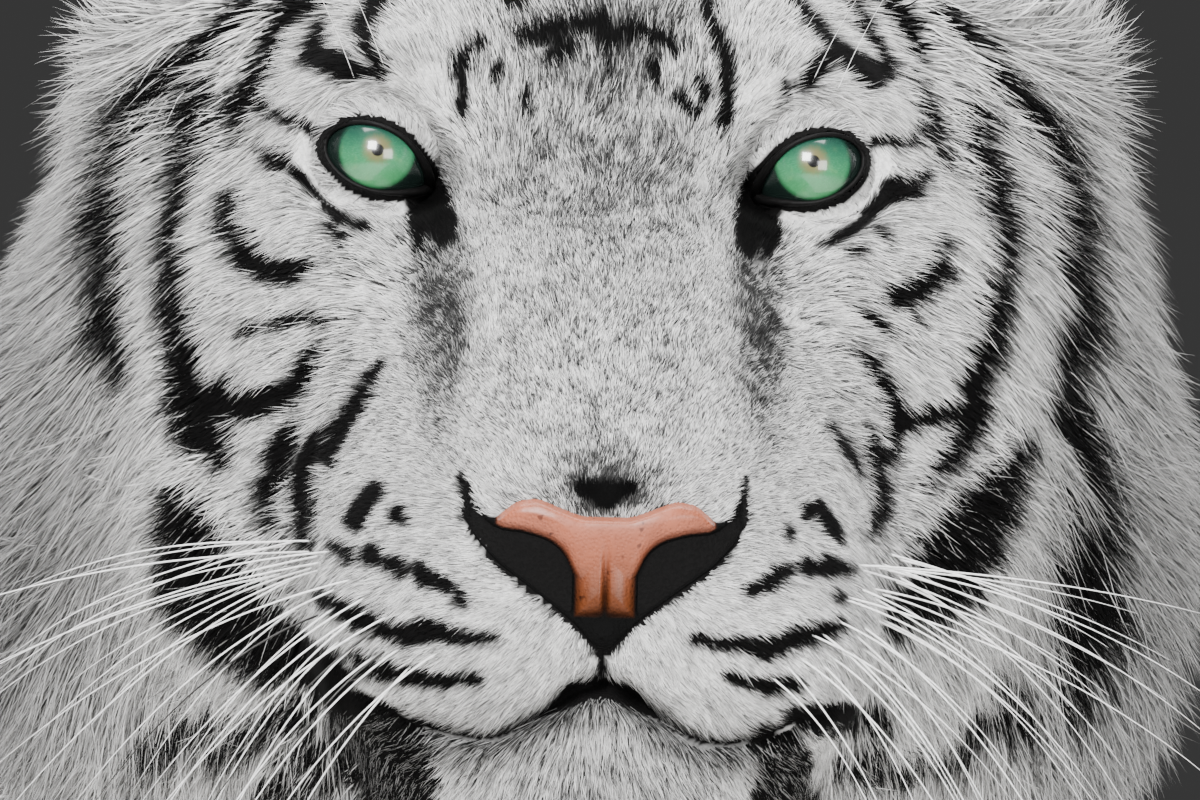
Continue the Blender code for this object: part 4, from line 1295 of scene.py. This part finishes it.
def nose_paint():
    """Pebbled leather: its colours lie in the tint, and the black skin round it is dull."""
    paint = Paint("nose_leather", Roughness=0.42, Specular_IOR_Level=0.06, Coat_Roughness=0.35)
    tone = paint.grain(90.0, 3.0)
    tint_colour = paint.attribute("tint")
    colour = paint.mix(tone.step(0.3, 0.7), tint_colour, paint.mix(1.0, tint_colour, grey(1.25), "MULTIPLY"))
    cells = Term(paint, paint.node("ShaderNodeTexVoronoi", {}, {"Vector": paint.place(), "Scale": 950.0}).outputs[0])
    freckle = paint.grain(330.0, 1.0).step(0.70, 0.76)
    colour = paint.mix(freckle * 0.75, colour, paint.mix(1.0, colour, (0.25, 0.2, 0.2, 1.0), "MULTIPLY"))
    red = paint.node("ShaderNodeSeparateColor", {}, {"Color": tint_colour}).outputs["Red"]
    bare = Term(paint, red).step(0.02, 0.15)
    paint.set(paint.surface, {"Roughness": 0.85 - bare * 0.40, "Coat Weight": bare * 0.6})
    paint.bump(cells.step(0.0, 0.7), 0.35 * MM, 0.7)
    return paint.colour(colour)


def plain_paint(name, colour, roughness, scale, depth, shine=0.5, mottling=0.25):
    """A finish with a slight mottle and bump."""
    paint = Paint(name, Roughness=roughness, Specular_IOR_Level=shine)
    tone = paint.grain(scale, 3.0)
    low = tuple((1 - mottling) * part for part in colour)
    paint.bump(tone, depth)
    return paint.colour(paint.mix(tone.step(0.3, 0.7), (*low, 1.0), (*colour, 1.0)))


# ---------------------------------------------------------------- pieces


def tubes(name, lines, sides):
    """Tapered tubes along lines of (place, radius), each open or closed, as one mesh."""
    curve = bpy.data.curves.new(name, "CURVE")
    curve.dimensions = "3D"
    curve.bevel_depth = 1.0
    curve.bevel_resolution = sides
    curve.use_fill_caps = True
    for line, closed in lines:
        spline = curve.splines.new("POLY")
        spline.points.add(len(line) - 1)
        for point, (place, radius) in zip(spline.points, line):
            point.co = (*place, 1.0)
            point.radius = radius
        spline.use_cyclic_u = closed
        spline.use_smooth = True
    mesh = evaluated(placed(name, curve))
    bpy.data.curves.remove(curve)
    mesh.shade_smooth()
    mesh.name = name
    return mesh


def skin_tree():
    """The skin's faces as a tree for rays."""
    mesh = SKIN["mesh"]
    return BVHTree.FromPolygons([v.co for v in mesh.vertices], [p.vertices for p in mesh.polygons])


def front_of_skin():
    """A function that gives how far forward the skin lies at places on the head, in millimetres."""
    tree = skin_tree()

    def height(at):
        found = []
        for right, up, *_ in at:
            hit = tree.ray_cast(Vector(from_head([(right, up, 300)])[0]), Vector((0, 1, 0)))[0]
            found.append(0.0 if hit is None else to_head(np.array([hit]))[0, 2])
        return np.array(found)

    return height


class TIGER_OT_skin(bpy.types.Operator):
    """One closed skin in place of all the nodes of flesh"""

    bl_idname = "tiger.skin"
    bl_label = "Skin"

    def execute(self, context):
        coat = context.scene.tiger_coat
        mesh = build_skin(coat.mesh_size)
        mesh.name = "skin"
        obj = shown("skin", mesh, coat_paint("skin", True))
        mesh.shade_smooth()
        unwrapped(obj)
        tint(mesh, skin_colours(mesh_arrays(mesh)[0], SKIN["names"], coat))
        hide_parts(*FLESH)
        SKIN["front"] = front_of_skin()
        return {"FINISHED"}


def skin_colours(places, names, coat):
    """The coat's markings and painted shade, with dark skin inside the eyes' openings, the nostrils and the mouth."""
    at = to_head(places)
    colours = coat_colours(places, names, coat.white, coat.black) * (0.80 * (1 - 0.9 * dusk(at)))[:, None]
    dark = (at[:, 2] > -60) & (lid_reach(at) < 3.0)
    dark |= by_mouth(at, 45, 2.0, 3.5, 6)
    dark |= (at[:, 2] > 60) & ((nose_gap(at) < 0.5) | (nose_margin(at) < 3.4))
    colours[dark] = coat.black
    return colours


def eyeball_mesh(name, centre):
    """A ball whose clear front bulges."""
    bm = bmesh.new()
    bmesh.ops.create_uvsphere(bm, u_segments=64, v_segments=40, radius=EYE_RADIUS)
    bmesh.ops.rotate(bm, verts=bm.verts, cent=(0, 0, 0), matrix=Matrix.Rotation(math.pi / 2, 3, "X"))
    for vertex in bm.verts:
        off = math.hypot(vertex.co.x, vertex.co.z)
        if vertex.co.y < 0 and off < BULGE_REACH:
            vertex.co.y -= BULGE * (1 - (off / BULGE_REACH) ** 2)
    bmesh.ops.translate(bm, verts=bm.verts, vec=centre)
    return finished(bm, name)


def lid_line(side, centre):
    """The wet rim of the lids round an eye's opening as a line of (place, radius)."""
    sign = 1 if side == "left" else -1
    line = []
    for angle in np.linspace(0, 2 * math.pi, 72, endpoint=False):
        outward, up = turned(*lid_edge(angle), -LID_TURN) + np.array(LID_CENTRE)
        forward = ball_front(math.hypot(outward - centre.x * sign / MM, up), RIM_DEPTH)
        inner = max(-math.cos(angle), 0) ** 3
        line.append((from_head([(sign * outward, up, forward)])[0], (0.75 + 0.9 * inner) * MM))
    return line


class TIGER_OT_eyes(bpy.types.Operator):
    """The eyeballs with their painted irises, and the wet black rims of the lids"""

    bl_idname = "tiger.eyes"
    bl_label = "Eyes"

    def execute(self, context):
        rim_finish = plain_paint("lid_rim", (0.003, 0.0028, 0.0028), 0.55, 500.0, 0.25 * MM, 0.12)
        for side, centre in EYES.items():
            ball, rim = f"eyeball_{side}", f"lid_rim_{side}"
            obj = shown(ball, eyeball_mesh(ball, centre), eye_paint(side, context.scene.tiger_face))
            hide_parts(f"eye_{side}")
            shown(rim, tubes(rim, [(lid_line(side, centre), True)], 3), rim_finish)
        return {"FINISHED"}


CLAW_LENGTH = 15 * MM
CLAW_RADIUS = 3.4 * MM
# How flat a claw is, how far its tip hooks down and how far it is turned from upright
CLAW_FLATNESS = 0.62
CLAW_HOOK = 4.5 * MM
CLAW_TURN = math.radians(108)
# How high above the floor a claw leaves the skin, and how far its middle lies ahead and below
CLAW_HEIGHT = 25 * MM
CLAW_SHIFT = Vector((0, -9 * MM, -3 * MM))


def claw_mesh():
    """One flat-sided, hooked claw that points ahead and down."""
    bm = bmesh.new()
    bmesh.ops.create_cone(
        bm, cap_ends=True, segments=10, radius1=CLAW_RADIUS, radius2=CLAW_RADIUS * 0.12, depth=CLAW_LENGTH
    )
    sides = [edge for edge in bm.edges if abs(edge.verts[0].co.z - edge.verts[1].co.z) > CLAW_LENGTH / 2]
    bmesh.ops.subdivide_edges(bm, edges=sides, cuts=4)
    for vertex in bm.verts:
        along = vertex.co.z / CLAW_LENGTH + 0.5
        vertex.co.x *= CLAW_FLATNESS
        vertex.co.y += CLAW_HOOK * along * along
    bmesh.ops.rotate(bm, verts=bm.verts, cent=(0, 0, 0), matrix=Matrix.Rotation(CLAW_TURN, 3, "X"))
    bmesh.ops.recalc_face_normals(bm, faces=bm.faces)
    return finished(bm, "claw")


class TIGER_OT_claws(bpy.types.Operator):
    """The tips of the drawn-in claws, one on each toe"""

    bl_idname = "tiger.claws"
    bl_label = "Claws"

    def execute(self, context):
        tree = skin_tree()
        claw = claw_mesh()
        bm = bmesh.new()
        for node, apart in PAWS.items():
            low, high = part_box(node)
            for toe in (-1.5, -0.5, 0.5, 1.5):
                start = Vector(((low.x + high.x) / 2 + toe * apart, low.y - 0.05, CLAW_HEIGHT))
                hit = tree.ray_cast(start, Vector((0, 1, 0)))[0]
                before = len(bm.verts)
                bm.from_mesh(claw)
                bm.verts.ensure_lookup_table()
                bmesh.ops.translate(bm, verts=bm.verts[before:], vec=hit + CLAW_SHIFT)
        horn = plain_paint("claw_horn", (0.42, 0.36, 0.28), 0.35, 220.0, 0.1 * MM)
        shown("claws", finished(bm, "claws"), horn)
        return {"FINISHED"}


class TIGER_OT_nose(bpy.types.Operator):
    """The nose leather with its wings, nostrils and the groove down its middle"""

    bl_idname = "tiger.nose"
    bl_label = "Nose"

    def execute(self, context):
        obj = shown("nose_pad", nose_mesh(context.scene.tiger_face), nose_paint())
        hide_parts("nose")
        return {"FINISHED"}


# The lower edge of the pink beside its column: distance from the middle and height, in millimetres
PINK_LOW = (
    (8.4, -124), (9.2, -120), (10.8, -116.3), (14, -112.6), (18, -110.5), (24, -108.9), (31, -108.2), (33, -106),
)
# Half the column's width, how low the pink goes and how far out, in millimetres
COLUMN = 8.4
PINK_END = -133.3
PINK_REACH = 31.5
# How high the pink stands, how deep the nostrils and the groove lie, and how far the edge drops, in millimetres
PINK_HEIGHT = 3.4
NOSTRIL_DEPTH = 10.0
GROOVE_DEPTH = 2.0
EDGE_DROP = 5.0
# How far beyond its outline the leather goes on under the hair
NOSE_SPARE = 2.6
# Half the width and height of the grid that the leather is cut from, and its middle's height, in millimetres
NOSE_HALF = (45, 28)
NOSE_MIDDLE = -119


def nose_mesh(face):
    """The leather over the muzzle's tip, whose height comes from the pad's forms."""
    bm = bmesh.new()
    bmesh.ops.create_grid(bm, x_segments=190, y_segments=120, size=1.0)
    at = np.array([vertex.co for vertex in bm.verts]) * (*NOSE_HALF, 0) + (0, NOSE_MIDDLE, 0)
    away = np.abs(at[:, 0])
    up = at[:, 1]
    skin = SKIN["front"](at)
    gap = nose_gap(at)
    wing = np.minimum(up - along_line(PINK_LOW, away), away * 10)
    pink = np.maximum(wing, COLUMN - away)
    pink = np.minimum(pink, PINK_REACH - away)
    pink = np.minimum(pink, np.minimum(up - PINK_END, along_line(NOSE_TOP, away) - up + 3))
    height = skin + 1.2 + PINK_HEIGHT * (1 - np.exp(-np.maximum(pink, 0) / 2.2))
    height -= NOSTRIL_DEPTH * ramp(-pink, 0.0, 5.0) * ramp(away, 6, 10) * ramp(-gap, 0.0, 4.0)
    groove = np.exp(-((away / 0.9) ** 2)) * (1 - ramp(up, -124, -110))
    height -= GROOVE_DEPTH * groove * ramp(pink, 0, 2) + EDGE_DROP * ramp(gap, -0.6, 2.4)
    # the lower pad is darker, in part its own browner leather and in part painted shade; the pink is also darkened as
    # painted shade towards its edges, where it falls into the nostrils, and darker down the groove
    low = 1 - ramp(up, -130, -109)
    leather = np.array(face.leather) * (1 - low[:, None]) + np.array(face.leather_low) * low[:, None]
    leather = leather * (1 - 0.85 * (groove * low)[:, None]) * (1 - 0.5 * (1 - ramp(pink, 0.2, 2.0)))[:, None]
    black = np.maximum(ramp(-pink, -0.4, 0.4), 1 - ramp(up + 0.35 * away, PINK_END - 1.0, PINK_END + 5.5))[:, None]
    colours = leather * (1 - black) + 0.002 * black
    for vertex, place in zip(bm.verts, from_head(at + height[:, None] * (0, 0, 1))):
        vertex.co = place
    beyond = gap > NOSE_SPARE
    bmesh.ops.delete(bm, geom=[vertex for vertex, out in zip(bm.verts, beyond) if out], context="VERTS")
    bm.normal_update()
    if sum(polygon.normal.y for polygon in bm.faces) > 0:
        bmesh.ops.reverse_faces(bm, faces=bm.faces)
    mesh = finished(bm, "nose_pad")
    tint(mesh, colours[~beyond])
    return mesh


class TIGER_OT_coat(bpy.types.Operator):
    """The coat: fine short tufts on the face, long hair on the ruff and sleek locks on the body"""

    bl_idname = "tiger.coat"
    bl_label = "Coat"

    def execute(self, context):
        coat = context.scene.tiger_coat
        finish = coat_paint("coat_hair", False)
        places, corners, _ = mesh_arrays(SKIN["mesh"])
        forward = to_head(places[corners].mean(1))[:, 2]
        length = SKIN["values"][corners].mean(1)[:, 1]
        head = np.isin(SKIN["names"][corners[:, 0]], HEAD_NODES) & (forward > HEAD_BACK)
        face = head & (length < FACE_HAIR) & (forward > FACE_BACK)
        grow("coat_face", face, finish, coat)
        grow("coat_ruff", head & ~face, finish, coat)
        grow("coat_body", ~head, finish, coat)
        return {"FINISHED"}


# The rows of whiskers, from the top: where each begins, right and up, and how far apart its whiskers are
WHISKER_ROWS = ((76, -119, 2.2), (69, -127, 3.2), (59, -136, 4.2), (47, -146, 4.6))
BROW_HAIRS = (54, 63, 72)
DARK_WHISKERS = 0.06


def whisker(sign, number, longest, generator):
    """A whisker of the pad as a line of (place, radius); it bends out, back and down."""
    row, step = number % len(WHISKER_ROWS), number // len(WHISKER_ROWS)
    right, up, apart = WHISKER_ROWS[row]
    right += apart * step + generator.uniform(-2, 2)
    up = max(up + 0.6 * step + generator.uniform(-2.5, 2.5), float(mouth_line(right)) + 5)
    start = np.array((sign * right, up, SKIN["front"]([(sign * right, up)])[0] - 1.5))
    fall = 0.24 * row + 0.02 + generator.uniform(-0.14, 0.30)
    out = unit(np.array((sign, -fall, generator.uniform(0.15, 0.55))))
    length = longest * generator.uniform(0.5, 1.0) * (1.0 - 0.13 * row)
    sag = length * (generator.uniform(0.06, 0.24) + 0.10 * row)
    bend = np.array((-sign * 0.10 * length, -sag, -0.40 * length))
    steps = np.linspace(0, 1, 17)
    places = from_head([start + out * length * t + bend * t * t for t in steps])
    return list(zip(places, (0.33 * (1 - steps) ** 0.8 + 0.04) * MM))


def brow_hair(sign, right, generator):
    """A fine hair over an eye as a line of (place, radius)."""
    up = 24 + generator.uniform(-3, 3)
    forward = SKIN["front"]([(sign * right, up)])[0] - 1
    length = generator.uniform(35, 60)
    steps = np.linspace(0, 1, 9)
    reach = length * steps
    line = np.stack((sign * (right + 0.35 * reach), up + reach * (0.9 - 0.2 * steps), forward + 0.25 * reach), 1)
    return list(zip(from_head(line), (0.10 * (1 - steps) + 0.03) * MM))


class TIGER_OT_whiskers(bpy.types.Operator):
    """Long whiskers from the pads and a few hairs over the eyes"""

    bl_idname = "tiger.whiskers"
    bl_label = "Whiskers"

    def execute(self, context):
        face = context.scene.tiger_face
        generator = np.random.default_rng(5)
        pale, dark = [], []
        for sign in (-1, 1):
            for number in range(face.whiskers):
                line = whisker(sign, number, face.whisker_length / MM, generator)
                (dark if generator.random() < DARK_WHISKERS else pale).append((line, False))
            pale += [(brow_hair(sign, right, generator), False) for right in BROW_HAIRS]
        for name, lines, colour in (("white", pale, (0.95, 0.945, 0.94)), ("black", dark, (0.012, 0.011, 0.010))):
            if lines:
                finish = plain_paint(f"whisker_{name}", colour, 0.35, 900.0, 0.02 * MM)
                shown(f"whiskers_{name}", tubes(f"whiskers_{name}", lines, 1), finish)
        return {"FINISHED"}


# The lights: place and aim from between the eyes, size in metres and power in watts
LIGHTS = {
    "key": ((-0.8, -3.0, 1.8), (0, 0, -0.05), 1.3, 300),
    "fill": ((1.6, -3.0, 0.5), (0, 0, -0.1), 1.4, 75),
    "top": ((0.0, 0.3, 2.4), (0, 0.6, -0.3), 2.4, 150),
    "rim_left": ((-2.6, 1.8, 0.8), (0, 0.5, -0.1), 1.5, 60),
    "rim_right": ((2.6, 1.8, 0.8), (0, 0.5, -0.1), 1.5, 60),
}
FLOOR_RADIUS = 5.0
# What the camera looks at: right of and below the point between the eyes
AIM = (1.5 * MM, -71.25 * MM)


class TIGER_OT_stage(bpy.types.Operator):
    """Pale floor, soft lights and the camera in front of the face"""

    bl_idname = "tiger.stage"
    bl_label = "Stage"

    def execute(self, context):
        stage = context.scene.tiger_stage
        bm = bmesh.new()
        bmesh.ops.create_circle(bm, cap_ends=True, segments=96, radius=FLOOR_RADIUS)
        floor = placed("floor", finished(bm, "floor", False))
        floor.data.materials.append(plain_paint("floor", (0.66, 0.65, 0.63), 0.8, 1.5, 0.05 * MM, 0.2, 0.04))
        world = bpy.data.worlds.new("studio")
        context.scene.world = world
        world.use_nodes = True
        world.node_tree.nodes["Background"].inputs["Color"].default_value = grey(0.045)
        head = Vector(HEAD)
        for name, (place, aim, size, power) in LIGHTS.items():
            light = bpy.data.lights.new(name, "AREA")
            light.shape, light.size, light.energy = "SQUARE", size, power
            lamp = placed(name, light)
            lamp.location = head + Vector(place)
            lamp.rotation_euler = (head + Vector(aim) - lamp.location).to_track_quat("-Z", "Y").to_euler()
        camera = placed("camera", bpy.data.cameras.new("camera"))
        context.scene.camera = camera
        camera.data.lens = stage.lens
        camera.data.clip_start, camera.data.clip_end = 0.1, 60.0
        back = Vector((math.sin(stage.turn), -math.cos(stage.turn), 0))
        level = Vector((math.cos(stage.turn), math.sin(stage.turn), 0))
        right, up = turned(level, Vector((0, 0, 1)), stage.roll)
        place = head + right * AIM[0] + up * AIM[1] + back * stage.reach
        camera.matrix_world = Matrix.Translation(place) @ Matrix((right, up, back)).transposed().to_4x4()
        return {"FINISHED"}


class TIGER_PT_panel(bpy.types.Panel):
    """The tiger's sizes, colours and steps"""

    bl_idname = "TIGER_PT_panel"
    bl_label = "White Tiger"
    bl_space_type = "VIEW_3D"
    bl_region_type = "UI"
    bl_category = "Tiger"

    def draw(self, context):
        for group in ("tiger_coat", "tiger_face", "tiger_stage"):
            settings = getattr(context.scene, group)
            for name in settings.__annotations__:
                self.layout.prop(settings, name)
        for operator in STEPS:
            self.layout.operator(operator.bl_idname)


SETTINGS = {"tiger_coat": TIGER_PG_coat, "tiger_face": TIGER_PG_face, "tiger_stage": TIGER_PG_stage}
STEPS = (
    TIGER_OT_stage, TIGER_OT_skin, TIGER_OT_eyes, TIGER_OT_nose, TIGER_OT_coat, TIGER_OT_claws, TIGER_OT_whiskers,
)


def register():
    for kind in (*SETTINGS.values(), *STEPS, TIGER_PT_panel):
        bpy.utils.register_class(kind)
    for name, kind in SETTINGS.items():
        setattr(bpy.types.Scene, name, PointerProperty(type=kind))


def unregister():
    for name in SETTINGS:
        delattr(bpy.types.Scene, name)
    for kind in (TIGER_PT_panel, *reversed(STEPS), *reversed(SETTINGS.values())):
        bpy.utils.unregister_class(kind)


def main():
    register()
    bpy.ops.tiger.stage()
    bpy.ops.tiger.skin()
    bpy.ops.tiger.eyes()
    bpy.ops.tiger.nose()
    bpy.ops.tiger.coat()
    bpy.ops.tiger.claws()
    bpy.ops.tiger.whiskers()


if __name__ == "__main__":
    main()
